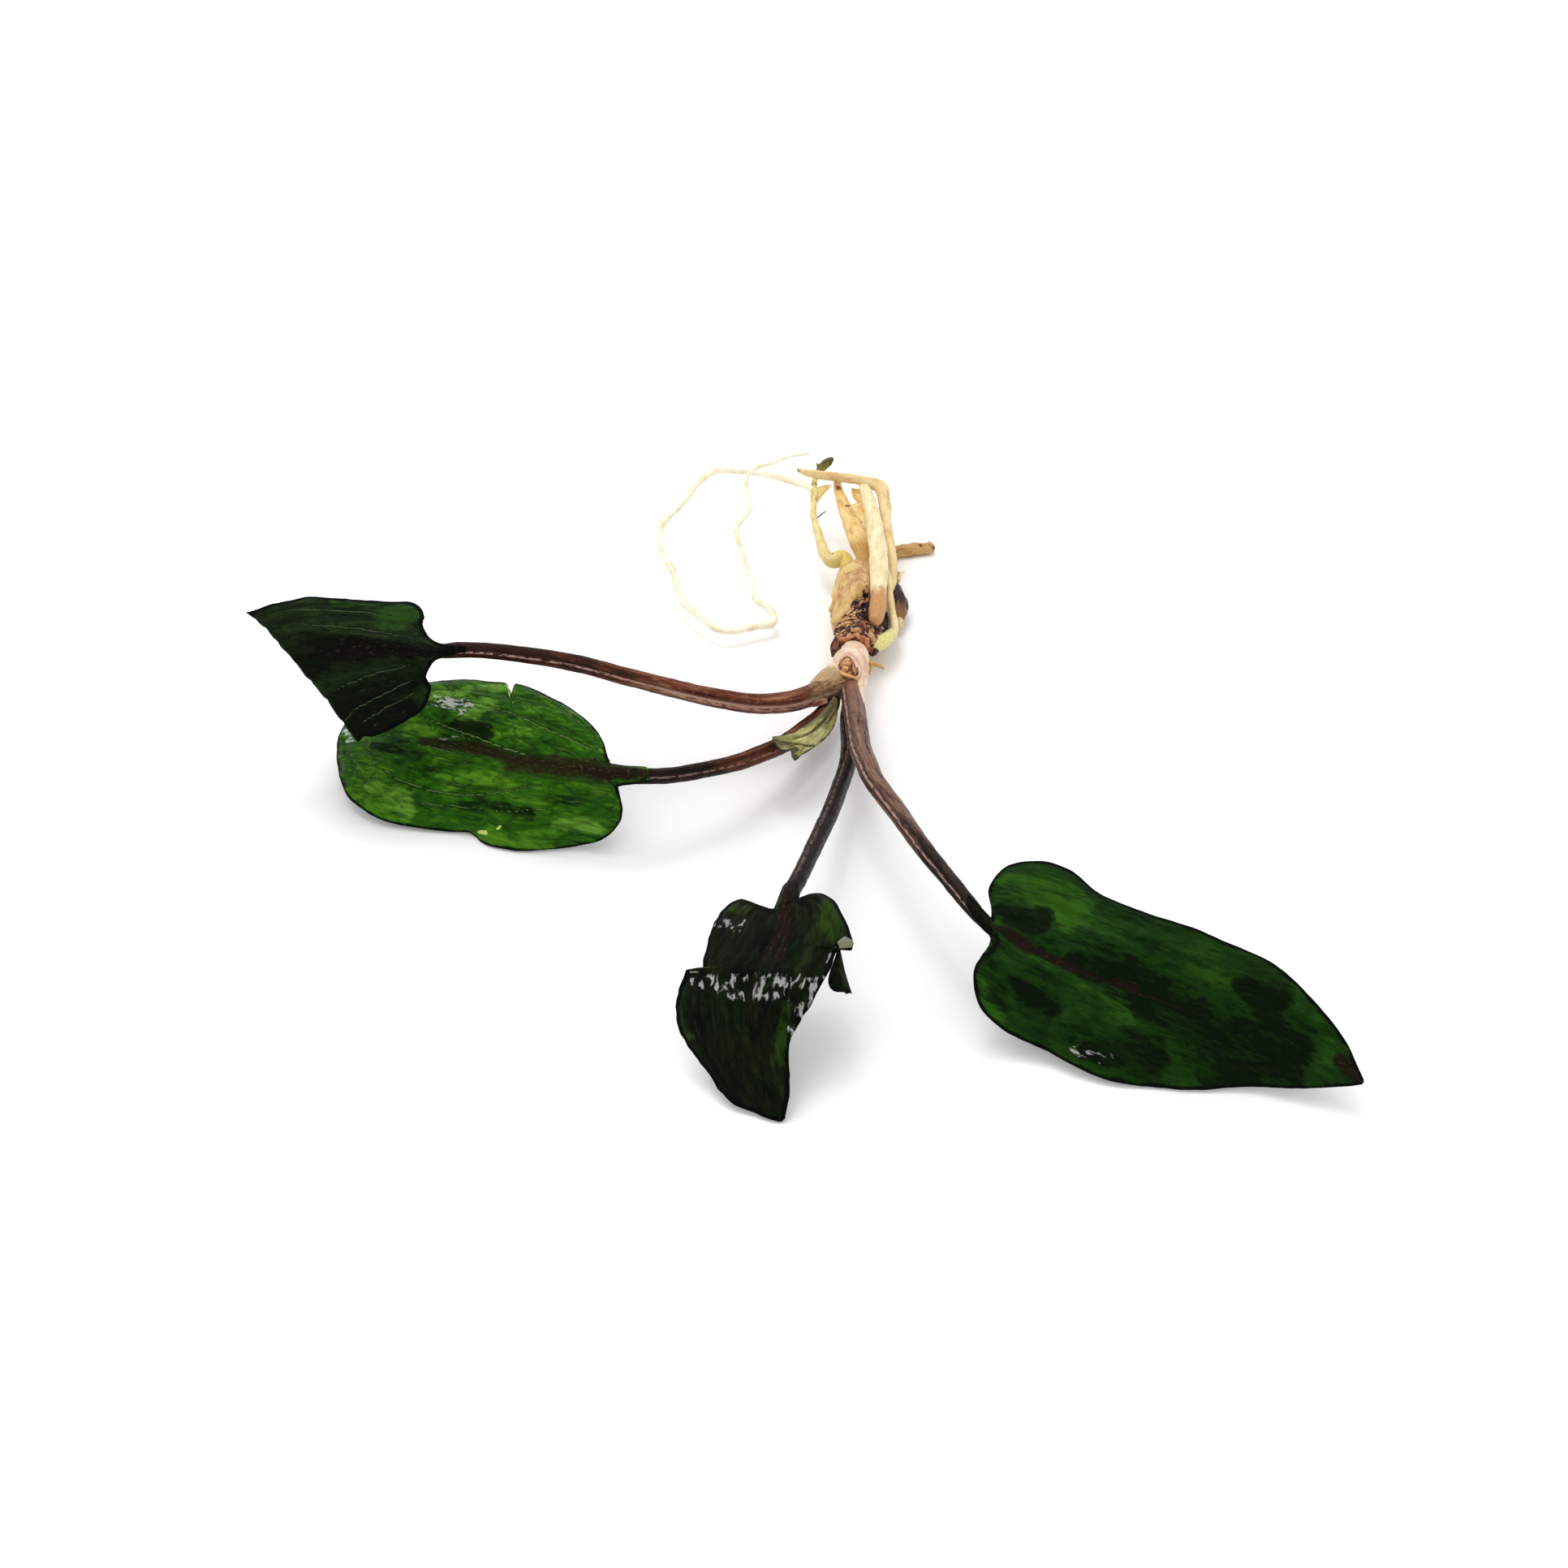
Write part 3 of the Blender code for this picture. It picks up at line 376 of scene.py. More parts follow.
# The skins of the roots: dark, main, light, specks, a second colour, and how much light goes in
ROOT_COLOURS = {
    "green": ((200, 180, 112), (222, 202, 140), (234, 218, 166), (178, 158, 86), (222, 192, 104), 0.3),
    "white": ((226, 216, 178), (244, 238, 214), (252, 248, 236), (206, 190, 134), (176, 170, 96), 0.3),
    "tan": ((204, 170, 114), (224, 198, 144), (234, 214, 168), (140, 80, 36), (240, 222, 196), 0.25),
    "flat": ((204, 164, 98), (226, 194, 128), (236, 210, 150), (120, 64, 28), (196, 152, 84), 0.25),
    "ringed": ((220, 200, 152), (236, 220, 176), (244, 232, 196), (190, 160, 110), (196, 144, 90), 0.3),
    "thin": ((210, 186, 130), (228, 206, 154), (240, 226, 184), (190, 156, 96), (224, 214, 142), 0.3),
    "stub": ((150, 108, 60), (192, 148, 90), (210, 172, 114), (84, 44, 20), (120, 90, 50), 0.15),
    "dead": ((14, 6, 6), (44, 22, 16), (84, 50, 34), (8, 3, 4), (140, 100, 58), 0.0),
    "bud": ((190, 162, 104), (214, 190, 136), (226, 208, 160), (60, 34, 24), (180, 140, 80), 0.3),
    "film": ((204, 172, 108), (222, 196, 138), (234, 214, 164), (170, 130, 76), (200, 170, 110), 0.4),
    "olive": ((56, 50, 12), (104, 92, 26), (150, 134, 50), (30, 30, 12), (80, 76, 24), 0.0),
    "hair": ((110, 116, 120), (140, 144, 144), (160, 160, 150), (90, 90, 90), (140, 140, 140), 0.0),
}

RHIZOME_LINE = [(10.1, 42.9, 3.9), (10, 38, 3.8), (10, 33, 3.8), (9.7, 27.5, 4.1), (9.2, 21.9, 5)]
RHIZOME_RADIUS = 3.4
COLLAR_LINE = [(9, 21.5, 5.3), (8.6, 17.5, 5.3), (8, 13.4, 5.3)]
COLLAR_RADIUS = 2.4
BLUNTNESS = 0.35

# Ridges on the rhizome: a skin, a radius, and places as (share along it, angle round it)
RHIZOME_RIDGES = [
    ("old_root", 0.85, (0.4, 1.5), (0.46, 1.58), (0.53, 1.72), (0.59, 1.86)),
    ("old_root", 0.95, (0.57, 1.8), (0.62, 2.0), (0.68, 2.22), (0.74, 2.5), (0.79, 2.8)),
    ("old_root", 0.5, (0.24, 2.3), (0.32, 2.5), (0.42, 2.75), (0.52, 2.95)),
    ("scar", 0.36, (0.8, 3.0), (0.83, 2.48), (0.84, 2.06), (0.84, 1.6), (0.85, 1.16), (0.86, 0.55)),
    ("scar", 0.42, (0.87, 2.7), (0.91, 2.16), (0.94, 1.71), (0.92, 1.37), (0.94, 1.0), (0.95, 0.6)),
    ("scar", 0.4, (0.84, 2.2), (0.88, 1.95), (0.91, 1.85), (0.95, 2.1)),
    ("scar", 0.4, (0.86, 1.2), (0.9, 0.9), (0.94, 0.4), (0.95, 0.0)),
    ("lip", 0.32, (0.91, 3.04), (0.96, 2.46), (0.975, 2.1), (0.985, 1.88), (0.97, 1.5), (0.99, 1.2)),
    ("lip", 0.36, (0.99, 1.3), (0.975, 1.0), (0.99, 0.7), (0.985, 0.22), (0.95, -0.57)),
    # The crease ridges are dark tubes laid in the seams beside the old-root lumps and the scar lips: painted shade.
    ("crease", 0.1, (0.56, 2.1), (0.6, 1.75), (0.66, 1.8), (0.7, 2.0), (0.76, 2.2)),
    ("crease", 0.09, (0.6, 2.3), (0.67, 2.6), (0.75, 2.85)),
    ("crease", 0.12, (0.81, 2.7), (0.82, 2.3), (0.8, 1.9), (0.82, 1.5)),
    ("crease", 0.12, (0.88, 2.9), (0.88, 2.4), (0.9, 2.0), (0.885, 1.5), (0.9, 1.1), (0.9, 0.6)),
    ("rim", 0.2, (0.74, 2.02), (0.68, 1.83), (0.63, 1.57), (0.56, 1.35), (0.52, 1.2), (0.43, 1.13)),
    ("rim", 0.15, (0.72, 1.6), (0.68, 1.45), (0.66, 1.2), (0.6, 1.25)),
    ("rim", 0.18, (0.82, 1.5), (0.79, 1.2), (0.79, 0.87), (0.77, 0.6), (0.75, 0.39)),
    ("rim", 0.16, (0.8, 1.9), (0.76, 1.7), (0.74, 1.4)),
    ("tooth", 0.46, (0.9, 1.74), (0.925, 1.68)),
    ("tooth", 0.34, (0.95, 1.45), (0.96, 1.36)),
    ("tooth", 0.32, (0.965, 1.72), (0.975, 1.6)),
    ("tooth", 0.34, (0.95, 2.04), (0.96, 1.92)),
    ("tooth", 0.32, (0.965, 1.0), (0.97, 0.88)),
    ("tooth", 0.3, (0.91, 0.83), (0.92, 0.74)),
    ("lip", 0.42, (0.87, 1.95), (0.885, 1.86)),
    ("tooth", 0.26, (0.7, 0.12), (0.68, 0.0), (0.66, -0.08)),
]
RHIZOME_FLAPS = [
    ("flap", [(6.8, 24, 5.8), (6.1, 22.7, 5.2), (6.2, 20.6, 4.9)], [(7.4, 23.4, 5.8), (7.1, 22, 5.6), (6.9, 20.2, 5.4)]),
    ("flap", [(11, 22.6, 5.4), (11.8, 22.3, 5.1), (12.4, 22.2, 4.8)], [(11, 21.2, 5), (11.5, 21, 4.7), (12, 21.4, 4.6)]),
    ("old_root", [(11.2, 20.2, 4.7), (12.1, 19.7, 4.3), (13, 19.3, 4)], [(10.9, 19.4, 4.6), (11.9, 19.3, 4.3), (12.9, 19.1, 3.9)]),
    ("old_root", [(11.2, 19.8, 4.8), (11.4, 18.6, 4.5), (11, 17.2, 4.4)], [(10.9, 19.6, 4.8), (11.1, 18.4, 4.6), (10.8, 17, 4.5)]),
    ("dark", [(11.8, 33, 5.8), (12.4, 30, 5.4), (12.2, 26.8, 5.4)], [(13.9, 32.4, 4), (14, 29.6, 3.7), (13.6, 27.2, 3.7)]),
    ("flap", [(10.9, 18, 4.8), (11, 17, 4.5)], [(10.5, 17.8, 4.8), (10.6, 16.8, 4.5)]),
]

# The arch over the leaf scar, the strip of old sheath on the right stalk, and the scar's own parts
HOOD_LINE = [(7, 14.6, 6, 0.5), (6.9, 16.3, 6.2, 0.75), (7.4, 18, 6.7, 0.85), (8.6, 18.3, 7, 0.88),
             (9.6, 17.2, 6.9, 0.85), (10.1, 15.7, 6.1, 0.8), (10, 14, 5.5, 0.6)]
SHEATH_STRIP = [(10.1, 14.8, 5.6, 0.65), (9.75, 12.4, 6.1, 0.6), (9.5, 9.6, 7, 0.5), (9.6, 6, 7.9, 0.36),
                (9.75, 2.6, 8.4, 0.22), (9.9, -1, 8.8, 0.1)]
LEFT_SHEATH = [(7.1, 17.3, 5.5, 1.2), (6.4, 15, 5.95, 1.5), (5.5, 13, 6.35, 1.55), (4.5, 11.6, 6.6, 1.3),
               (3.4, 10.4, 6.7, 0.8), (2.3, 9.6, 6.8, 0.3)]
SCAR_FAR_EDGE = [(6.9, 15, 6.9), (7.2, 16.3, 7.3), (8, 16.8, 7.6), (8.8, 16, 7.5), (9.3, 14.7, 6.9)]
SCAR_NEAR_EDGE = [(6.9, 14.4, 6.8), (7.3, 13.7, 6.8), (8.05, 13.4, 6.8), (8.7, 13.5, 6.6), (9.25, 14.1, 6.5)]
SCAR_RIDGES = [
    ("light", [(6.9, 14.3, 7, 0.16), (7.4, 13.7, 7.05, 0.24), (8.1, 13.35, 7, 0.26), (8.8, 13.4, 6.7, 0.2),
               (9.2, 13.7, 6.4, 0.12)]),
    ("light", [(7.3, 14.8, 7.25, 0.2), (7.9, 14.4, 7.4, 0.34), (8.6, 14.3, 7.2, 0.26)]),
    ("light", [(7.3, 15.8, 7.45, 0.16), (7.8, 15.4, 7.6, 0.22), (8.3, 15.5, 7.6, 0.16)]),
    ("light", [(8.4, 15.8, 7.6, 0.14), (8.8, 15.2, 7.5, 0.2), (8.7, 14.8, 7.4, 0.14)]),
    # The first dark ridge is a painted shadow at the scar's right inner edge, where it sinks under the arch's rim; the
    # other two are dark lines between the light ridges.
    ("dark", [(9.3, 15, 7.1, 0.1), (9.35, 14.2, 6.9, 0.18), (9.1, 13.7, 6.7, 0.14)]),
    ("dark", [(7.2, 15.3, 7.25, 0.12), (7.8, 14.95, 7.4, 0.16), (8.5, 14.8, 7.4, 0.14), (9, 15.1, 7.3, 0.12)]),
    ("dark", [(7.5, 16.2, 7.5, 0.1), (8, 15.9, 7.6, 0.12), (8.4, 16.2, 7.6, 0.1)]),
]
STALK_WEB = ([(5.5, 10.4, 6.8), (4.2, 8.9, 6.9), (2.6, 7.7, 6.7)], [(5.5, 9, 5.9), (4.3, 8, 6.1), (2.5, 7.3, 6.4)])


def paint(red, green, blue):
    """A colour as it looks on a screen, from 0 to 255, turned into the linear one that shaders take."""
    shares = [value / 255 for value in (red, green, blue)]
    return tuple(v / 12.92 if v <= 0.04045 else ((v + 0.055) / 1.055) ** 2.4 for v in shares)


def smooth(points, steps=16):
    """Points on a smooth curve through the given ones (Catmull-Rom); a fourth number is a radius."""
    knots = np.asarray(points, dtype=float)
    knots = np.vstack([2 * knots[0] - knots[1], knots, 2 * knots[-1] - knots[-2]])
    t = np.linspace(0, 1, steps, endpoint=False)[:, None]
    spans = []
    for a, b, c, d in zip(knots, knots[1:], knots[2:], knots[3:]):
        bend = (2 * a - 5 * b + 4 * c - d) * t ** 2 + (3 * b - a - 3 * c + d) * t ** 3
        spans.append(0.5 * (2 * b + (c - a) * t + bend))
    spans.append(knots[-2:-1])
    return np.vstack(spans)


def reaches(line):
    """How far along a line each of its points is."""
    return np.concatenate([[0], np.cumsum(np.linalg.norm(np.diff(line[:, :3], axis=0), axis=1))])


def read(line, shares):
    """The points of a line that lie these fractions of the way along it."""
    reach = reaches(line)
    return np.column_stack([np.interp(shares * reach[-1], reach, column) for column in line.T])


def unit(vectors):
    """The same directions with a length of one."""
    return vectors / np.maximum(np.linalg.norm(vectors, axis=-1, keepdims=True), 1e-9)


def step(low, high, values):
    """0 below low and 1 above high, with a smooth rise between them."""
    share = np.clip((values - low) / (high - low), 0, 1)
    return share * share * (3 - 2 * share)


NOISE_TABLE = np.random.default_rng(1932).uniform(-1, 1, 4096)


def noise(points, size, seed=0):
    """Smooth noise from -1 to 1 that changes over this many millimetres."""
    at = np.asarray(points, dtype=float) / size + 31.7 * seed
    cell = np.floor(at).astype(np.int64)
    part = at - cell
    part = part * part * (3 - 2 * part)
    total = 0.0
    for corner in itertools.product((0, 1), repeat=at.shape[-1]):
        weight = np.prod(np.where(np.array(corner) == 1, part, 1 - part), axis=-1)
        key = 0
        for axis, prime in zip(range(at.shape[-1]), (73856093, 19349663, 83492791)):
            key = key ^ ((cell[..., axis] + corner[axis]) * prime)
        total = total + weight * NOISE_TABLE[key & 4095]
    return total


def nearest(points, line):
    """The distance from every point to the nearest point of a line."""
    flat = points.reshape(-1, 3)
    found = [np.sqrt(((part[:, None] - line[None]) ** 2).sum(-1).min(1)) for part in np.array_split(flat, 40)]
    return np.concatenate(found).reshape(points.shape[:-1])


def lattice_faces(rows, columns, wrap=False):
    """The quads of a lattice of points, which may close on itself across its columns."""
    index = np.arange(rows * columns).reshape(rows, columns)
    if wrap:
        index = np.hstack([index, index[:, :1]])
    corners = (index[:-1, :-1], index[1:, :-1], index[1:, 1:], index[:-1, 1:])
    return np.stack(corners, -1).reshape(-1, 4)


class Shell:
    """Gathers points, faces and the values that the materials read, and makes one object of them."""

    def __init__(self, name):
        self.name = name
        self.blocks = []
        self.faces = []
        self.slots = []
        self.materials = []
        self.count = 0

    def add(self, points, faces, material, **values):
        """A part: its points in millimetres, its faces, their material and the points' values."""
        points = points.reshape(-1, 3)
        if material not in self.materials:
            self.materials.append(material)
        self.blocks.append((points, values))
        self.faces.append(faces + self.count)
        self.slots.append(np.full(len(faces), self.materials.index(material)))
        self.count += len(points)

    def gathered(self, name, vector):
        """One value of all the points, with zeros where a part doesn't have it."""
        found = []
        for points, values in self.blocks:
            shape = (len(points), 3) if vector else (len(points),)
            found.append(np.broadcast_to(np.asarray(values.get(name, 0.0)).reshape(-1, *shape[1:]), shape))
        return np.concatenate(found)

    def finish(self, slot, *nodes):
        """The object, riding on the plant in place of the nodes that it stands for."""
        points = np.concatenate([block[0] for block in self.blocks])
        mesh = bpy.data.meshes.new(self.name)
        mesh.from_pydata(((points - ORIGIN) * MM).tolist(), [], np.concatenate(self.faces).tolist())
        mesh.polygons.foreach_set("material_index", np.concatenate(self.slots))
        names = sorted({name for block in self.blocks for name in block[1]})
        for name in names:
            vector = name == "place"
            layer = mesh.attributes.new(name, "FLOAT_VECTOR" if vector else "FLOAT", "POINT")
            layer.data.foreach_set("vector" if vector else "value", self.gathered(name, vector).ravel())
        cleaner = bmesh.new()
        cleaner.from_mesh(mesh)
        bmesh.ops.remove_doubles(cleaner, verts=cleaner.verts, dist=2e-7)
        bmesh.ops.recalc_face_normals(cleaner, faces=cleaner.faces)
        cleaner.to_mesh(mesh)
        cleaner.free()
        for material in self.materials:
            mesh.materials.append(material)
        mesh.shade_smooth()
        piece = bpy.data.objects.new(self.name, mesh)
        bpy.context.scene.collection.objects.link(piece)
        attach(piece, "root")
        if nodes:
            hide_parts(*nodes)
        return piece


class Finish:
    """A Principled material whose colour, roughness and relief come from chains of nodes."""

    def __init__(self, name, **constants):
        self.material = bpy.data.materials.new(name)
        self.material.use_nodes = True
        self.tree = self.material.node_tree
        self.shader = self.tree.nodes["Principled BSDF"]
        for socket, value in constants.items():
            self.shader.inputs[socket.replace("_", " ")].default_value = value

    def feed(self, socket, value):
        """Link a socket to another, or give it a constant."""
        if isinstance(value, bpy.types.NodeSocket):
            self.tree.links.new(value, socket)
        elif socket.type == "RGBA":
            socket.default_value = (*value[:3], 1.0)
        else:
            socket.default_value = value

    def node(self, kind, inputs, output=0, **settings):
        """A node with its settings and inputs, given by name or number; its output is returned."""
        node = self.tree.nodes.new(kind)
        for key, value in settings.items():
            setattr(node, key, value)
        for key, value in inputs.items():
            self.feed(node.inputs[key], value)
        return node.outputs[output]

    def value(self, name):
        """A value of the mesh's points."""
        return self.node("ShaderNodeAttribute", {}, "Fac", attribute_name=name)

    def place(self):
        """The points' own place on the piece, in millimetres."""
        return self.node("ShaderNodeAttribute", {}, "Vector", attribute_name="place")

    def math(self, operation, *values):
        """One step of arithmetic."""
        return self.node("ShaderNodeMath", dict(enumerate(values)), operation=operation)

    def stretched(self, vector, factors):
        """A place measured in other units along its axes."""
        return self.node("ShaderNodeVectorMath", {0: vector, 1: factors}, operation="MULTIPLY")

    def shaken(self, vector, size, amount):
        """A place moved about by noise of this size, by this many millimetres."""
        colour = self.node("ShaderNodeTexNoise", {"Vector": vector, "Scale": 1 / size}, "Color")
        middle = self.node("ShaderNodeVectorMath", {0: colour, 1: (0.5, 0.5, 0.5)}, operation="SUBTRACT")
        push = self.node("ShaderNodeVectorMath", {0: middle, 1: (amount,) * 3}, operation="MULTIPLY")
        return self.node("ShaderNodeVectorMath", {0: vector, 1: push}, operation="ADD")

    def noise(self, vector, size, detail=3.0, roughness=0.55):
        """Noise from 0 to 1 that changes over this many millimetres."""
        inputs = {"Vector": vector, "Scale": 1 / size, "Detail": detail, "Roughness": roughness}
        return self.node("ShaderNodeTexNoise", inputs, "Fac")

    def cells(self, vector, size, feature="DISTANCE_TO_EDGE"):
        """The distance inside irregular cells of this size, from their borders or their middles."""
        inputs = {"Vector": vector, "Scale": 1 / size}
        return self.node("ShaderNodeTexVoronoi", inputs, "Distance", feature=feature)

    def rise(self, value, low, high, floor=0.0, top=1.0):
        """A smooth rise from floor to top as the value goes from low to high."""
        inputs = {"Value": value, "From Min": low, "From Max": high, "To Min": floor, "To Max": top}
        return self.node("ShaderNodeMapRange", inputs, interpolation_type="SMOOTHSTEP")

    def ramp(self, value, *stops):
        """Colours that follow a value, each given with the value where it stands."""
        node = self.tree.nodes.new("ShaderNodeValToRGB")
        node.color_ramp.interpolation = "EASE"
        elements = node.color_ramp.elements
        while len(elements) < len(stops):
            elements.new(0.5)
        for element, (place, colour) in zip(elements, stops):
            element.position = place
            element.color = (*colour[:3], 1.0)
        self.feed(node.inputs[0], value)
        return node.outputs[0]

    def mix(self, share, first, second, blend="MIX"):
        """Two colours mixed by a share."""
        inputs = {0: share, 6: first, 7: second}
        return self.node("ShaderNodeMix", inputs, 2, data_type="RGBA", blend_type=blend)

    def bump(self, height, depth, strength=1.0, normal=None):
        """Relief of this many millimetres, on top of another one."""
        inputs = {"Height": height, "Distance": depth * MM, "Strength": strength}
        if normal is not None:
            inputs["Normal"] = normal
        return self.node("ShaderNodeBump", inputs)

    def done(self, colour, roughness=None, normal=None, **sockets):
        """The finished material."""
        self.feed(self.shader.inputs["Base Color"], colour)
        if roughness is not None:
            self.feed(self.shader.inputs["Roughness"], roughness)
        if normal is not None:
            self.feed(self.shader.inputs["Normal"], normal)
        for socket, value in sockets.items():
            self.feed(self.shader.inputs[socket.replace("_", " ")], value)
        return self.material


def leaf_finish(name, look):
    """A leaf's finish: marbled between sunken veins, dark along its midrib, black at its margin."""
    finish = Finish(name, Specular_IOR_Level=look["shine"], Coat_Roughness=0.1, Coat_IOR=4.0)
    place = finish.place()
    along = finish.stretched(place, (0.5, 1.0, 1.0))
    coarse = finish.noise(along, look["marbling"], 3.0, 0.6)
    fine = finish.noise(finish.stretched(place, (0.35, 1.0, 1.0)), 0.7, 5.0, 0.7)
    hue = finish.noise(place, 6.0, 2.0)
    blend = finish.math("ADD", finish.math("MULTIPLY", coarse, 0.6), finish.math("MULTIPLY", fine, 0.4))
    colour = finish.ramp(blend, (0.38, look["dark"]), (0.5, look["green"]), (0.62, look["light"]))
    colour = finish.mix(finish.rise(hue, 0.45, 0.65, 0.0, 0.45), colour, look["other"])

    grain = finish.noise(finish.stretched(place, (0.14, 1.0, 1.0)), 0.3, 4.0, 0.7)
    colour = finish.mix(finish.rise(grain, 0.53, 0.68, 0.0, look["grain"]), colour, look["light"])
    colour = finish.mix(finish.rise(grain, 0.3, 0.45, look["grain"], 0.0), colour, look["dark"])

    def zone(kind, low, high, top=1.0, ragged=0.45, by=fine):
        """How much of one kind of stroke shows, with its ragged outline."""
        reach = finish.math("ADD", finish.value(kind), finish.rise(by, 0.35, 0.65, -ragged, ragged))
        return finish.rise(finish.math("MULTIPLY", reach, finish.rise(finish.value(kind), 0.0, 0.1)),
                           low, high, 0.0, top)

    colour = finish.mix(zone("bright", 0.2, 1.2, 0.7, 0.6, blend), colour, look["bright"])
    colour = finish.mix(zone("blot", 0.3, 1.0, 0.94, 0.7, blend), colour, look["blot"])

    # Irregular cells over the blade: their sunken borders are painted darker as shade in the dimples, and their swollen
    # middles are painted lighter as a highlight.
    shaken = finish.shaken(finish.stretched(place, (0.5, 1.0, 1.0)), 1.1, 1.0)
    cells = finish.cells(shaken, 1.25)
    border = finish.rise(cells, 0.02, 0.13, look["cell_border_shade"], 0.0)
    painted_cell_shade = finish.math("MULTIPLY", border, finish.rise(finish.noise(place, 2.0, 1.0), 0.42, 0.56))
    colour = finish.mix(painted_cell_shade, colour, look["dark"])
    painted_cell_highlight = finish.math("MULTIPLY", finish.rise(cells, 0.12, 0.3), finish.rise(fine, 0.5, 0.66, 0.0, look["cell_highlight"]))
    colour = finish.mix(painted_cell_highlight, colour, look["light"])

    # Beside each sunken vein the blade is painted darker as the shadow in its groove; along the vein runs a lighter
    # line, partly the vein's own colour and partly a painted highlight.
    lane = finish.math("PINGPONG", finish.value("lane"), 0.5)
    gap = finish.math("MULTIPLY", lane, finish.value("lane_width"))
    wavering = finish.math("ADD", gap, finish.rise(fine, 0.3, 0.7, -0.12, 0.12))
    colour = finish.mix(finish.rise(wavering, 0.08, 0.42, look["vein_shadow"], 0.0), colour, look["dark"])
    seen = finish.rise(finish.noise(place, 1.8, 2.0), 0.47, 0.6)
    vein_line_and_highlight_share = finish.math("MULTIPLY", finish.rise(wavering, 0.0, 0.1, look["vein_line_and_highlight"], 0.0), seen)
    colour = finish.mix(vein_line_and_highlight_share, colour, look["vein"])

    rib = finish.math("ADD", finish.value("rib"), finish.rise(fine, 0.3, 0.7, -0.5, 0.5))
    speckle = finish.rise(finish.noise(finish.stretched(place, (0.4, 1.0, 1.0)), 0.3, 2.0), 0.55, 0.7)
    brown = finish.mix(speckle, look["rib"], look["rib_speckle"])
    colour = finish.mix(finish.rise(rib, 0.5, 1.2, 0.92, 0.0), colour, brown)
    colour = finish.mix(zone("brown", 0.1, 0.95, 0.93, 0.4, blend), colour, brown)

    # Round each line stroke the blade is painted darker as the shadow beside a sunken vein, and the stroke's middle
    # takes the line's colour.
    line = finish.value("line")
    colour = finish.mix(finish.rise(line, 0.05, 0.5, 0.0, 0.75), colour, look["dark"])
    bead = finish.rise(finish.noise(place, 0.5, 3.0), 0.4, 0.55, 0.5, 1.0)
    colour = finish.mix(finish.math("MULTIPLY", finish.rise(line, 0.55, 0.9, 0.0, 0.8), bead), colour, look["line"])
    colour = finish.mix(zone("pale", 0.3, 0.5, 1.0, 0.2), colour, look["pale"])

    edge = finish.math("ADD", finish.value("edge"), finish.rise(fine, 0.3, 0.7, -0.12, 0.12))
    colour = finish.mix(finish.value("under"), colour, look["underside"])
    rim = finish.math("MULTIPLY", look["rim"], edge)
    colour = finish.mix(finish.rise(rim, 0.3, 0.62, 0.97, 0.0), colour, look["margin"])
    colour = finish.mix(zone("torn", 0.3, 0.5), colour, look["pale"])

    height = finish.math("ADD", fine, finish.rise(cells, 0.0, 0.25, 0.0, 0.6))
    normal = finish.bump(height, 0.12, 0.75)
    rough = finish.math("ADD", look["roughness"], finish.rise(fine, 0.3, 0.7, 0.1, -0.08))
    flecks = finish.rise(finish.noise(finish.shaken(along, 1.5, 1.5), 0.7, 2.0), 0.49, 0.6)
    gloss = finish.math("MULTIPLY", zone("wet", 0.2, 0.6), flecks)
    return finish.done(colour, rough, normal, Coat_Weight=gloss)


def stalk_finish(name, look):
    """A stalk's finish: fine dark and light streaks along it, paler at the crown, dark at the blade."""
    finish = Finish(name, Specular_IOR_Level=0.08)
    place = finish.place()
    streaks = finish.noise(finish.stretched(place, (0.06, 1.0, 1.0)), 0.35, 4.0, 0.65)
    specks = finish.noise(finish.stretched(place, (0.35, 1.0, 1.0)), 0.3, 3.0, 0.65)
    mottle = finish.noise(finish.stretched(place, (0.3, 1.0, 1.0)), 1.4, 3.0, 0.6)
    blend = finish.math("ADD", finish.math("MULTIPLY", streaks, 0.6), finish.math("MULTIPLY", mottle, 0.4))
    colour = finish.ramp(blend, (0.38, look["dark"]), (0.5, look["main"]), (0.64, look["light"]))
    colour = finish.mix(finish.rise(specks, 0.56, 0.68, 0.0, look["speckled"]), colour, look["light"])
    colour = finish.mix(finish.rise(specks, 0.3, 0.42, 0.5, 0.0), colour, look["dark"])
    tip = finish.math("ADD", finish.value("tip"), finish.rise(mottle, 0.35, 0.65, -0.3, 0.3))
    colour = finish.mix(finish.rise(tip, 0.2, 0.8, 0.0, 0.94), colour, look["tip"])
    foot = finish.mix(finish.rise(specks, 0.42, 0.6), look["foot"], look["foot_speckle"])
    near = finish.math("ADD", finish.value("foot"), finish.rise(blend, 0.35, 0.65, -0.3, 0.3))
    colour = finish.mix(finish.rise(near, 0.2, 0.85), colour, foot)
    colour = finish.mix(finish.rise(near, 0.8, 1.15), colour, look["cream"])
    band = finish.mix(finish.rise(specks, 0.44, 0.6), look["band"], look["main"])
    colour = finish.mix(finish.value("band"), colour, band)
    # The grooves are painted darker as the shade that falls in them.
    dark = finish.math("MULTIPLY", finish.value("groove"), finish.rise(mottle, 0.3, 0.45, 0.75, 1.0))
    colour = finish.mix(dark, colour, look["groove"])
    # Pale stripes along the stalk are painted highlights.
    pale = finish.math("MULTIPLY", finish.value("ridge"), finish.rise(specks, 0.4, 0.56))
    colour = finish.mix(pale, colour, look["ridge"])
    normal = finish.bump(streaks, 0.12, 0.9)
    normal = finish.bump(specks, 0.05, 0.7, normal)
    return finish.done(colour, finish.rise(specks, 0.3, 0.7, 0.48, 0.3), normal)


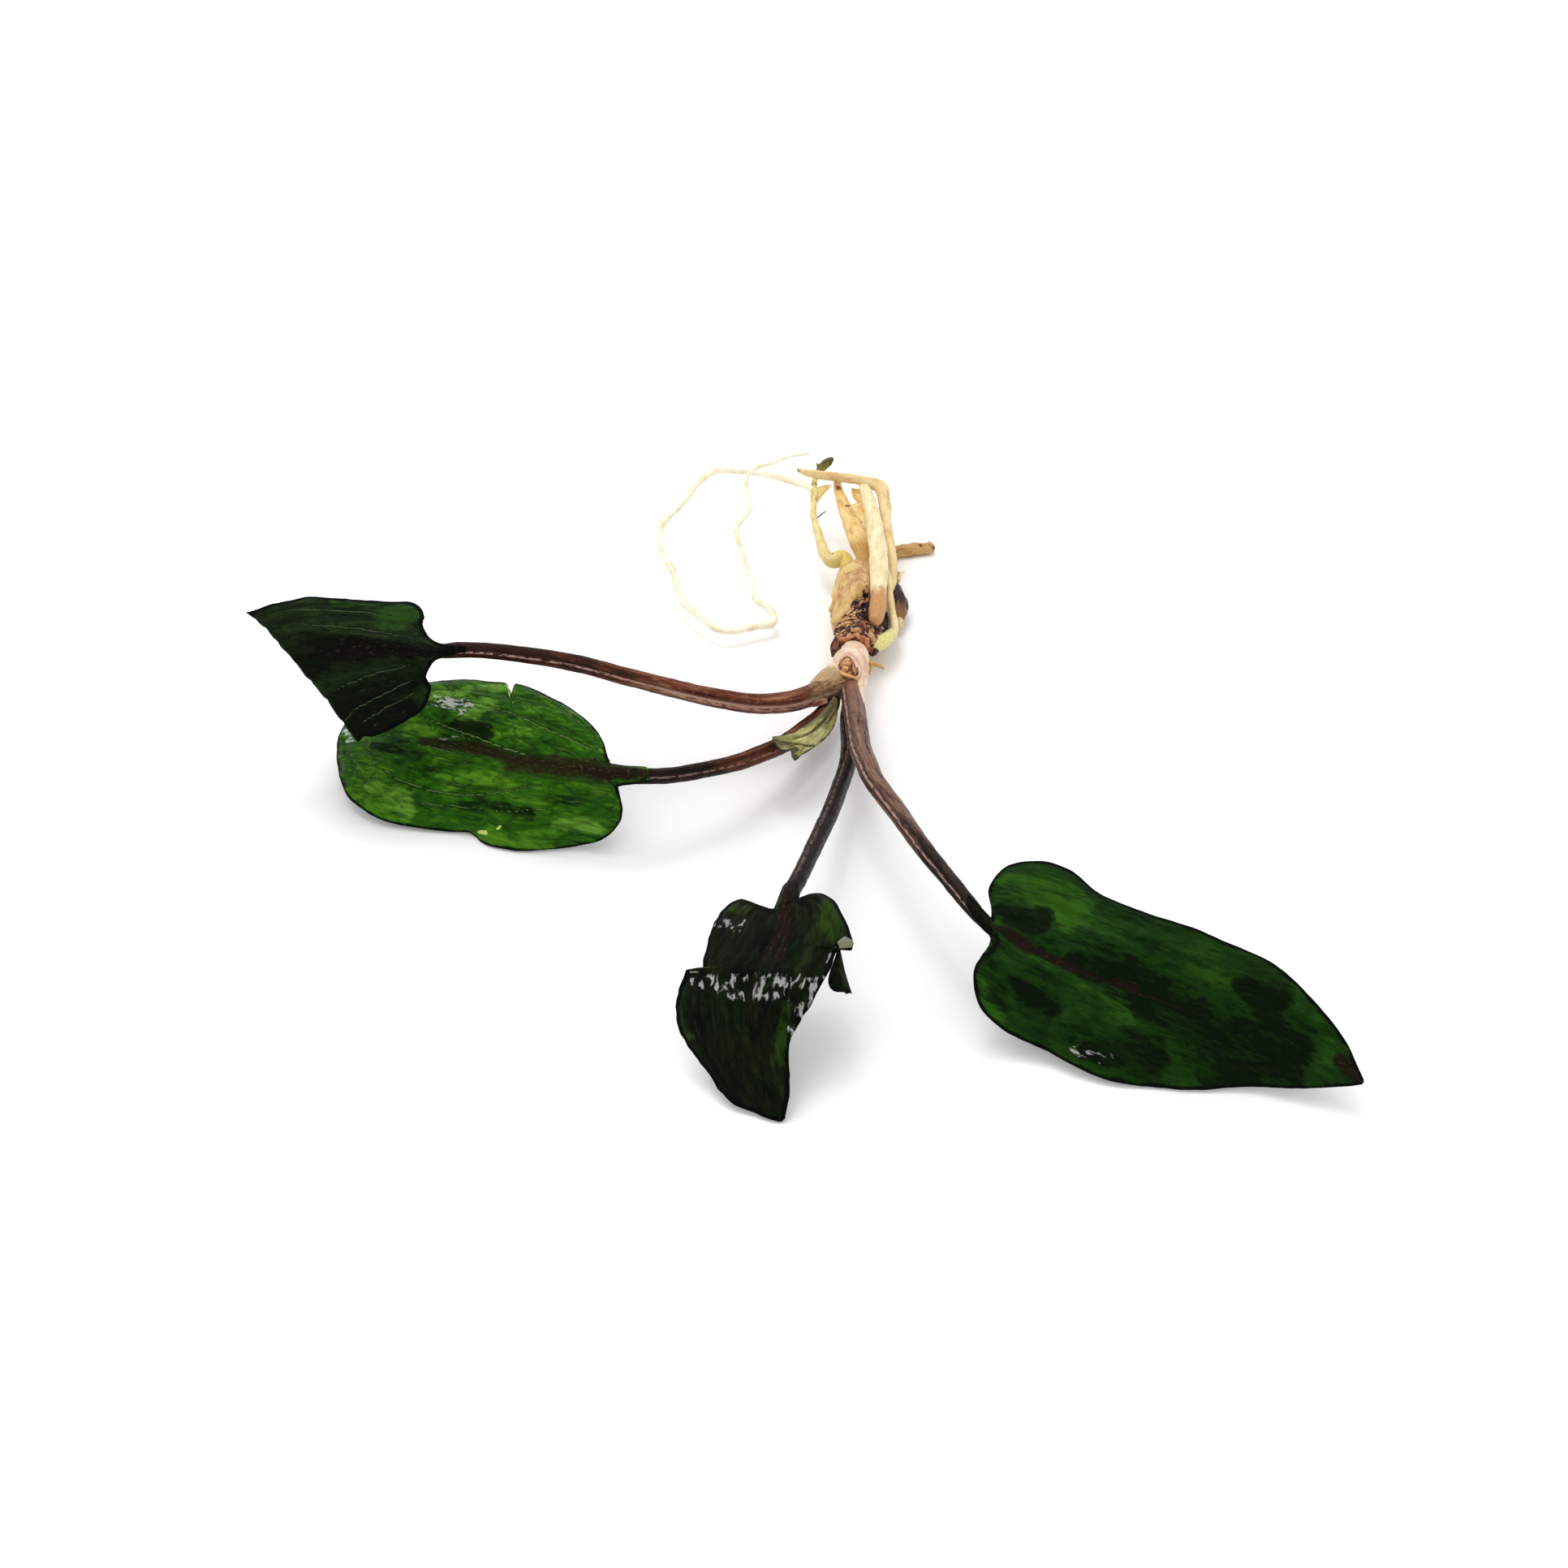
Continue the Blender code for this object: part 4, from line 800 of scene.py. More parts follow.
def outer_margin(leaf, margin, rib, side):
    """A margin with its small irregularities, nicks and tears."""
    reach = reaches(margin)
    outward = unit(margin - rib)
    fade = step(0, 3, reach) * step(0, 3, reach[-1] - reach)
    seed = leaf["seed"] + side
    shift = 0.14 * noise(reach[:, None], 2.3, seed) + 0.07 * noise(reach[:, None], 0.8, seed + 1)
    shift = shift * fade * leaf.get("wavy", 1.0)
    for number, spot, width, depth in leaf.get("nicks", ()):
        if number == side:
            apart = np.linalg.norm(margin - np.array(spot), axis=1)
            shift = shift - depth * np.clip(1 - apart / width, 0, 1)
    return margin + outward * shift[:, None]


def add_blade(shell, leaf, material, settings, rows=280, columns=121):
    """A leaf blade: a dense sheet between its margins, quilted between its veins."""
    blade = blade_sheet(leaf, rows, columns)
    sheet, normal, share, half = blade["sheet"], blade["normal"], blade["share"], blade["half"]
    across, rib = blade["across"], blade["rib"]
    size = np.abs(across)
    edge = nearest(sheet, np.concatenate([sheet[:, 0], sheet[:, -1]])[::2])
    from_rib = nearest(sheet, rib[::2])
    along = reaches(rib)
    lane, lane_width = vein_lanes(leaf, share, size, half)
    off = np.abs(lane - np.round(lane)) * lane_width
    seed = leaf["seed"]
    first = (blade["fold"] < 2)[:, None] | leaf.get("both", False)
    marks = {kind: strokes(leaf, kind, sheet) * first for kind in STROKES}
    flow = np.stack([0.45 * np.broadcast_to(along[:, None], off.shape), across * half,
                     np.full(off.shape, 9.0 * seed)], -1)

    grown = step(0, 0.08, share)[:, None]
    inside = step(0, 1.5, edge) * step(0.3, 2.0, from_rib) * grown
    hammered = 0.07 * noise(sheet, 1.3, seed) + 0.1 * (1 - 2 * np.abs(noise(flow, 1.5, seed + 1)))
    relief = settings.quilting / MM * (0.6 - 1.3 * np.exp(-(off / 0.4) ** 2)) + hammered
    relief = (relief + 0.14 * noise(sheet, 3.6, seed + 2)) * inside - 0.12 * marks["line"]
    curl = noise(sheet, 6.0, seed + 4) * size ** 2.5 * step(0, 0.1, share)[:, None]
    bend = leaf["ruffle"] * curl * step(0, 0.1, 1 - share)[:, None]
    thickness = settings.thickness / MM * (0.55 + 0.45 * step(0, 2, edge))
    stem = 1.1 * leaf["stalk"][-1][3] if "stalk" in leaf else 0.0
    midrib = stem * (1 - step(0, 2 * stem + 0.01, from_rib)) * (1 - step(0.5, WEB_LENGTH + 7, along))[:, None]
    top = sheet + normal * (relief + bend + midrib + thickness / 2)[..., None]
    bottom = sheet + normal * (0.8 * relief + bend - thickness / 2)[..., None]
    lift = np.maximum(0, FLOOR_HEIGHT + FLOOR_GAP - np.minimum(top[..., 2], bottom[..., 2]))
    top[..., 2] += lift
    bottom[..., 2] += lift

    taper = np.clip(1.03 - along / (0.8 * along[-1]), 0.02, 1)[:, None] ** 1.2
    rib_half = settings.midrib_width / MM * leaf.get("rib_width", 1.0) / 2 * taper
    faded = 9 * step(0.6, 0.8, along / along[-1])[:, None]
    flow[..., 0] /= 0.45
    under = leaf.get("underside", 1.0) * step(0.25, 0.6, edge)
    add_sheet(shell, top, bottom, material, under, place=flow, lane=lane,
              lane_width=lane_width, edge=edge, rib=np.minimum(from_rib / rib_half, 9.0) + faded, **marks)
    return blade


def rings(line, gap=0.3):
    """Where a tube has its rings: evenly along it, and closer in its rounded ends."""
    reach = reaches(line)[-1]
    first, last = line[0, 3], line[-1, 3]
    curve = 1 - np.cos(np.linspace(0, math.pi / 2, 6))
    inner = np.linspace(first, reach - last, max(4, int((reach - first - last) / gap)))[1:-1]
    return np.concatenate([first * curve, inner, (reach - last * curve)[::-1]])


def add_tube(shell, line, material, sides=24, gap=0.3, flat=1.0, shape=None, rough=0.04, seed=1,
             **values):
    """A tube with rounded ends along a line of points with radii; shape alters its radius."""
    at = rings(line, gap)
    reach = reaches(line)[-1]
    ring = read(line, at / reach)
    middle, radius = ring[:, :3], ring[:, 3]
    forward = unit(np.gradient(middle, axis=0))
    side = unit(np.cross(forward, (0.0, 0.0, 1.0)))
    upward = np.cross(side, forward)
    end = np.minimum(np.minimum(at / radius, (reach - at) / radius), 1)
    radius = radius * np.sqrt(np.maximum(1 - (1 - end) ** 2, 0))
    angle = np.linspace(0, 2 * math.pi, sides, endpoint=False)
    round_way = (np.cos(angle)[None, :, None] * side[:, None]
                 + flat * np.sin(angle)[None, :, None] * upward[:, None])
    wide = radius[:, None] * np.ones(sides)
    if shape is not None:
        wide = wide * shape(at[:, None], angle[None], reach)
    points = middle[:, None] + round_way * wide[..., None]
    points = points + round_way * (rough * noise(points, 0.9, seed) * step(0, 0.2, end)[:, None])[..., None]
    place = np.stack([np.broadcast_to(at[:, None], wide.shape), radius[:, None] * np.cos(angle),
                      radius[:, None] * np.sin(angle)], -1)
    place = place + (0, 0, 23.0 * seed)
    given = {"place": place.reshape(-1, 3)}
    for key, value in values.items():
        given[key] = np.broadcast_to(value(at[:, None], angle[None], reach), wide.shape).ravel()
    points[..., 2] = np.maximum(points[..., 2], FLOOR_HEIGHT + FLOOR_GAP)
    shell.add(points, lattice_faces(len(at), sides, wrap=True), material, **given)
    return at, middle, side, upward


def turned_from(angle, middle):
    """How far an angle is from another one, round the circle."""
    return np.abs((angle - middle + math.pi) % (2 * math.pi) - math.pi)


def add_stalk(shell, leaf, blade, material):
    """A grooved stalk from the crown, whose end sinks under the blade as its midrib."""
    stalk = smooth(leaf["stalk"])
    gone = reaches(stalk)
    stem = stalk[gone < gone[-1] - WEB_LENGTH]
    rib, middle = blade["rib"], blade["across"].size // 2
    reach = reaches(rib)
    keep = (reach > 0.3) & (reach < 0.5 * reach[blade["fold"] < 2][-1])
    down = -unit(blade["normal"][:, middle - 12:middle + 13].mean(1))[keep][::4]
    rib, reach = rib[keep][::4], reach[keep][::4]
    radius = stalk[-1, 3] * (1 - 0.8 * step(0, WEB_LENGTH + 4, reach))
    sunk = step(0, WEB_LENGTH + 1, reach) * (radius + 0.25)
    ridge = np.column_stack([rib + down * sunk[:, None], radius])
    line = np.vstack([stem[::4], ridge])

    def lengthwise(at, angle, places):
        depth = sum(np.exp(-(turned_from(angle, middle) / wide) ** 2) for middle, wide in places)
        return np.clip(depth, 0, 1) * step(2, 6, at) * step(0, 4, gone[-1] - at)

    def band(at, angle, reach):
        low, high, start, stop = leaf.get("band", (0.0, 0.0, 0.0, 0.0))
        near = step(low - 0.15, low + 0.15, angle) * (1 - step(high - 0.15, high + 0.15, angle))
        return (0.85 if high > low else 0.0) * near * step(start, start + 3, at) * (1 - step(stop - 8, stop, at))

    add_tube(shell, smooth(line, 4), material, sides=32, gap=0.3, seed=leaf["seed"],
             shape=lambda at, angle, reach: 1 - 0.16 * lengthwise(at, angle, leaf["grooves"]),
             # This value marks the grooves for their painted shade.
             groove=lambda at, angle, reach: 0.9 * lengthwise(at, angle, leaf["grooves"]),
             # This value marks the pale stripes, which are painted highlights.
             ridge=lambda at, angle, reach: lengthwise(at, angle, leaf["highlight_stripes"]),
             foot=lambda at, angle, reach: 1 - step(1, leaf.get("foot", 9.0), at) + 0 * angle,
             tip=lambda at, angle, reach: step(gone[-1] - leaf.get("tip", 12.0), gone[-1] - 3, at) + 0 * angle,
             band=band)


def lump_point(axis, radius, shape, along, angle, lift=0.0):
    """A point on a blunt-ended lump, given how far along it is and its angle round the axis."""
    along, angle = np.asarray(along, dtype=float), np.asarray(angle, dtype=float)
    z = 1 - 2 * np.clip(along, 0, 1)
    reach = radius * shape(along, angle) * (1 - z * z) ** (BLUNTNESS / 2) + lift
    out = np.stack([np.cos(angle), 0 * angle, np.sin(angle)], -1) * np.asarray(reach)[..., None]
    return read(axis, along.ravel()).reshape(*along.shape, 3) + out


def rhizome_shape(along, angle):
    """How far the rhizome's surface is from its axis, as a share of its radius."""
    taper = 0.97 + 0.25 * along - 0.35 * along * along
    lumps = 0.04 * np.sin(3 * angle + 9 * along) + 0.03 * np.sin(5 * angle - 14 * along)
    hollow = 0.42 * np.exp(-((angle - 0.85) / 0.5) ** 2 - ((along - 0.6) / 0.17) ** 2)
    return taper + lumps - hollow


def collar_shape(along, angle):
    """The collar is wider at its far rim, and has a shallow pit where the lost leaf grew."""
    pit = 0.16 * np.exp(-((angle - 1.6) / 0.55) ** 2 - ((along - 0.85) / 0.2) ** 2)
    left = 0.16 * np.exp(-((np.abs(angle) - math.pi) / 0.9) ** 2)
    return 1.0 - 0.1 * along - 0.06 * np.maximum(0.0, -np.sin(angle)) - pit - left


def lump_lattice(rows, sides):
    """The places of a lump's rings, closer at its ends, and the angles of their points."""
    along = 0.5 - 0.5 * np.cos(np.linspace(0, math.pi, rows))
    angle = np.linspace(-math.pi, math.pi, sides, endpoint=False)
    return np.meshgrid(along, angle, indexing="ij")


def blade_parts(leaf, rows):
    """A blade's parts from the stalk to the tip, each as rows: the share along, midrib and margins."""
    crease = leaf.get("crease", 1.0)
    bounds = ((0.0, crease), (crease, 1.0))
    parts = []
    for number, lines in enumerate(zip(leaf["rib"], leaf["left"], leaf["right"])):
        low, high = bounds[number]
        shares = np.linspace(0, 1, round(rows * (high - low)))
        lines = [np.asarray(line, dtype=float) for line in lines]
        bunching = 1.0
        if number == 0:
            bunching = CREASED_RIB_BUNCHING if crease < 1 else RIB_BUNCHING
        curves = [smooth(line) for line in lines]
        if number == 0 and "stalk" in leaf:
            joint = smooth(leaf["stalk"])[::-1]
            back = read(joint, np.array([WEB_LENGTH / reaches(joint)[-1]]))[0]
            wide = WEB_WIDTH * back[3]
            starts = [back[:3]] + [back[:3] + unit(line[0] - lines[0][0]) * wide for line in lines[1:]]
            curves = [smooth(np.vstack([start, line])) for start, line in zip(starts, lines)]
            web = [curve[:WEB_ROWS] for curve in curves]
            parts.append((np.zeros(WEB_ROWS), *web))
            curves = [curve[WEB_ROWS:] for curve in curves]
        found = [read(curve, shares ** (bunching if k == 0 else 1.0)) for k, curve in enumerate(curves)]
        parts.append((low + (high - low) * shares, *found))
    return parts


def blade_sheet(leaf, rows, columns):
    """A blade's middle sheet as a lattice, with what its relief and its finish are made from."""
    spread = np.linspace(-1, 1, columns)
    across = 0.6 * spread + 0.4 * np.sin(spread * math.pi / 2)
    size = np.abs(across)
    sheets, normals, shares, halves, folds, ribs = [], [], [], [], [], []
    parts = blade_parts(leaf, rows)
    for number, (share, rib, left, right) in enumerate(parts):
        web = len(parts) > len(leaf["rib"]) and number == 0
        if not web:
            left = outer_margin(leaf, left, rib, 0)
            right = outer_margin(leaf, right, rib, 1)
        margin = np.where((across > 0)[None, :, None], left[:, None], right[:, None])
        sheet = rib[:, None] + size[None, :, None] * (margin - rib[:, None])
        sheet[..., 2] += leaf["arch"] * 4 * size * (1 - size) * np.sin(math.pi * share)[:, None]
        sheets.append(sheet)
        normals.append(unit(np.cross(np.gradient(sheet, axis=1), np.gradient(sheet, axis=0))))
        shares.append(share)
        halves.append(np.linalg.norm(margin - rib[:, None], axis=-1))
        folds.append(np.full(len(share), number + 1 - (len(parts) - len(leaf["rib"]))))
        ribs.append(rib)
    sheet, normal, share, half, fold, rib = map(np.concatenate, (sheets, normals, shares, halves, folds, ribs))
    if normal[fold < 2][..., 2].mean() < 0:
        normal = -normal
    return {"sheet": sheet, "normal": normal, "share": share, "half": half, "fold": fold, "rib": rib,
            "across": across}


def vein_lanes(leaf, share, size, half):
    """Counts the lanes between the veins, whole numbers on a vein, and gives each lane's width."""
    knots = [np.zeros(len(share))]
    for start, spread in leaf["veins"]:
        grown = 1 - np.exp(-np.clip(share - start, 0, 1) / 0.1)
        knots.append(knots[-1] + 0.02 + (spread - knots[-1] - 0.02) * grown)
    knots = np.stack([*knots, np.ones(len(share))], 1)
    lane = np.stack([np.interp(size, row, np.arange(len(row))) for row in knots])
    gaps = np.diff(knots, axis=1)
    between = np.clip(lane.astype(int), 0, gaps.shape[1] - 1)
    return lane, np.take_along_axis(gaps, between, axis=1) * half


def strokes(leaf, kind, points):
    """How far each point is inside the leaf's strokes of a kind: 1 in their middle, 0 outside."""
    inside = np.zeros(points.shape[:-1])
    for width, *line in leaf.get(kind, ()):
        line = np.array(line, dtype=float)
        if len(line) > 2:
            line = smooth(line, 6)
        if line.shape[1] == 3:
            line = np.array([points.reshape(-1, 3)[((points - spot) ** 2).sum(-1).argmin()] for spot in line])
        seen = points[..., :line.shape[1]]
        ends = np.vstack([line, line[-1:]])
        for number, (start, end) in enumerate(zip(ends[:-1], ends[1:])):
            way = end - start
            share = np.clip(((seen - start) @ way) / max(way @ way, 1e-9), 0, 1)
            apart = np.linalg.norm(seen - start - share[..., None] * way, axis=-1)
            taper = 0.35 + 0.65 * np.sin(math.pi * np.clip((number + share) / len(line), 0.02, 1)) ** 0.5
            inside = np.maximum(inside, 1 - step(0.3, 1.7, apart / (width * taper)))
    return inside


def add_sheet(shell, top, bottom, material, under, **values):
    """A thin closed solid between two lattices of points, with the values of the lattice on both."""
    count = top[..., 0].size
    face = lattice_faces(*top.shape[:2])
    index = np.arange(count).reshape(top.shape[:2])
    loop = np.concatenate([index[:-1, 0], index[-1, :-1], index[:0:-1, -1], index[0, :0:-1]])
    after = np.roll(loop, -1)
    rim = np.stack([loop, after, after + count, loop + count], 1)
    twice = {"place": np.tile(values.pop("place").reshape(-1, 3), (2, 1))}
    for key, value in values.items():
        twice[key] = np.tile(np.broadcast_to(value, top.shape[:2]).ravel(), 2)
    twice["under"] = np.concatenate([np.zeros(count), np.broadcast_to(under, top.shape[:2]).ravel()])
    points = np.concatenate([top.reshape(-1, 3), bottom.reshape(-1, 3)])
    shell.add(points, np.concatenate([face, face[:, ::-1] + count, rim]), material, **twice)


def add_patch(shell, first, second, material, thickness=0.22, bulge=0.3, rough=0.1, seed=1, under=1.0,
              **values):
    """A small sheet between two lines, such as a flap, a strip of sheath or a torn bit."""
    shares = np.linspace(0, 1, 40)
    across = np.linspace(0, 1, 16)[None, :, None]
    starts, ends = read(smooth(first), shares)[:, None], read(smooth(second), shares)[:, None]
    sheet = starts + across * (ends - starts)
    normal = unit(np.cross(np.gradient(sheet, axis=1), np.gradient(sheet, axis=0)) + 1e-12)
    border = np.concatenate([sheet[0], sheet[-1], sheet[:, 0], sheet[:, -1]])
    edge = nearest(sheet, border)
    crown = bulge * np.sin(math.pi * across[..., 0]) + rough * noise(sheet, 0.9, seed) * step(0, 0.6, edge)
    half = thickness / 2 * (0.4 + 0.6 * step(0, 0.5, edge))
    top = sheet + normal * (crown + half)[..., None]
    bottom = sheet + normal * (crown - half)[..., None]
    place = np.stack([np.broadcast_to(reaches(starts[:, 0])[:, None], edge.shape),
                      reaches(ends[0] - starts[0])[0] + across[..., 0] * np.linalg.norm(ends - starts, axis=-1),
                      np.full(edge.shape, 7.0 * seed)], -1)
    add_sheet(shell, top, bottom, material, under, place=place, edge=edge, lane=0.5, lane_width=3.0,
              rib=9.0, **values)


def tissue_finish(name, colours, speck, tint, size=1.2, roughness=0.45, specular=0.2, under=0.0, specks=0.7):
    """A moist plant tissue: blotches of three colours, small specks, a second colour and dark dots."""
    finish = Finish(name, Specular_IOR_Level=specular, Subsurface_Weight=under,
                    Subsurface_Radius=(1.0, 0.8, 0.5), Subsurface_Scale=0.0006)
    place = finish.place()
    blotch = finish.noise(finish.stretched(place, (0.4, 1.0, 1.0)), size, 4.0, 0.6)
    fine = finish.noise(finish.stretched(place, (0.5, 1.0, 1.0)), size / 4, 4.0, 0.65)
    blend = finish.math("ADD", finish.math("MULTIPLY", blotch, 0.7), finish.math("MULTIPLY", fine, 0.3))
    dark, main, light = colours
    colour = finish.ramp(blend, (0.38, dark), (0.5, main), (0.62, light))
    shown = finish.math("ADD", finish.value("tint"), finish.rise(blend, 0.35, 0.65, -0.2, 0.2))
    shade = tuple(0.8 * part for part in tint)
    colour = finish.mix(finish.rise(shown, 0.25, 0.75), colour, finish.mix(finish.rise(fine, 0.45, 0.65), tint, shade))
    colour = finish.mix(finish.rise(fine, 0.61, 0.7, 0.0, specks), colour, speck)
    dot = finish.math("ADD", finish.value("dot"), finish.rise(fine, 0.35, 0.65, -0.12, 0.12))
    colour = finish.mix(finish.rise(dot, 0.3, 0.7, 0.0, 0.85), colour, speck)
    normal = finish.bump(blotch, 0.15, 0.6)
    normal = finish.bump(fine, 0.07, 0.7, normal)
    return finish.done(colour, finish.rise(fine, 0.3, 0.7, roughness + 0.1, roughness - 0.1), normal)


def scar_finish(name, light, main, crack, tint, size=0.8):
    """Rough old scar tissue: pale ridges with dark red cracks between them."""
    finish = Finish(name, Specular_IOR_Level=0.2)
    place = finish.place()
    shaken = finish.shaken(place, size, size)
    cells = finish.cells(finish.stretched(shaken, (0.6, 0.8, 1.0)), 1.8 * size)
    fine = finish.noise(place, size / 3, 4.0, 0.65)
    colour = finish.ramp(fine, (0.36, main), (0.5, tint), (0.62, light))
    crack_share = finish.rise(finish.math("ADD", cells, finish.rise(fine, 0.3, 0.7, -0.03, 0.03)), 0.02, 0.11, 0.95, 0.0)
    colour = finish.mix(crack_share, colour, crack)
    rot = finish.math("ADD", finish.value("rot"), finish.rise(fine, 0.3, 0.7, -0.3, 0.3))
    colour = finish.mix(finish.rise(rot, 0.4, 0.6), colour, crack)
    normal = finish.bump(finish.rise(cells, 0.0, 0.2), 0.25, 0.9)
    normal = finish.bump(fine, 0.1, 0.8, normal)
    return finish.done(colour, finish.rise(fine, 0.3, 0.7, 0.55, 0.35), normal)


def rhizome_finish(name):
    """The rhizome's skin: tan and pink, yellow green at the far end, scarred and rotted near the crown."""
    finish = Finish(name, Specular_IOR_Level=0.2, Subsurface_Weight=0.1,
                    Subsurface_Radius=(1.0, 0.7, 0.4), Subsurface_Scale=0.0005)
    place = finish.place()
    blotch = finish.noise(finish.stretched(place, (1.0, 0.6, 1.0)), 1.6, 4.0, 0.6)
    fine = finish.noise(place, 0.35, 4.0, 0.65)
    colour = finish.ramp(blotch, (0.36, paint(170, 124, 82)), (0.48, paint(196, 154, 104)), (0.6, paint(214, 182, 132)))
    green = finish.math("ADD", finish.value("tint"), finish.rise(blotch, 0.35, 0.65, -0.3, 0.3))
    colour = finish.mix(finish.rise(green, 0.2, 0.9, 0.0, 0.6), colour, paint(220, 194, 120))
    spots = finish.noise(finish.shaken(place, 0.8, 0.6), 0.55, 3.0, 0.6)
    colour = finish.mix(finish.rise(spots, 0.63, 0.7, 0.0, 0.5), colour, paint(140, 96, 64))
    cells = finish.cells(finish.stretched(finish.shaken(place, 1.2, 1.2), (0.6, 1.3, 1.0)), 1.5)
    barred = finish.ramp(fine, (0.36, paint(150, 92, 60)), (0.5, paint(190, 136, 96)), (0.64, paint(220, 174, 132)))
    barred = finish.mix(finish.rise(cells, 0.04, 0.17, 0.97, 0.0), barred, paint(46, 12, 10))
    scar = finish.math("ADD", finish.value("scar"), finish.rise(spots, 0.3, 0.7, -0.4, 0.4))
    colour = finish.mix(finish.rise(scar, 0.4, 0.65), colour, barred)
    rot = finish.math("ADD", finish.value("rot"), finish.rise(spots, 0.3, 0.7, -0.35, 0.35))
    colour = finish.mix(finish.rise(rot, 0.25, 0.4), colour, paint(124, 52, 38))
    colour = finish.mix(finish.rise(rot, 0.38, 0.5), colour, paint(14, 4, 6))
    normal = finish.bump(blotch, 0.2, 0.7)
    normal = finish.bump(fine, 0.1, 0.8, normal)
    return finish.done(colour, finish.rise(fine, 0.3, 0.7, 0.55, 0.35), normal)


def ring_grooves(root, at, angle):
    """Where a root has the grooves of its rings, from 0 to 1."""
    spacing, depth, start, stop = root.get("rings", (1.0, 0.0, 0.0, 1.0))
    wave = np.sin(math.pi * (at / spacing + 0.15 * np.sin(2.3 * at) + 0.12 * np.sin(angle))) ** 10
    seen = step(start, start + 2, at) * (1 - step(stop - 1, stop, at))
    return wave * seen * (depth > 0) + 0 * angle


def root_form(root):
    """How a root's radius varies round its own rings, knobs and swellings."""
    depth = root.get("rings", (0.0, 0.0))[1]

    def form(at, angle, reach):
        size = 1 - depth * ring_grooves(root, at, angle)
        for along, turn, height, wide in root.get("knobs", ()):
            size = size + height * np.exp(-((at - along) / wide) ** 2 - (turned_from(angle, turn) / 0.8) ** 2)
        return size
    return form


def root_values(root):
    """Where a root shows its second colour and its dark dots."""
    def tint(at, angle, reach):
        shown = 0 * at + 0 * angle
        for start, stop in root.get("tint", ()):
            shown = np.maximum(shown, step(start - 3, start + 3, at) * (1 - step(stop - 3, stop + 3, at)) + 0 * angle)
        return shown

    def dot(at, angle, reach):
        shown = 0 * at + 0 * angle
        for along, turn, wide in root.get("dots", ()):
            near = np.exp(-((at - along) / wide) ** 2 - (turned_from(angle, turn) * 0.7 / wide) ** 2)
            shown = np.maximum(shown, near)
        return np.maximum(shown, 0.48 * ring_grooves(root, at, angle))
    return {"tint": tint, "dot": dot}


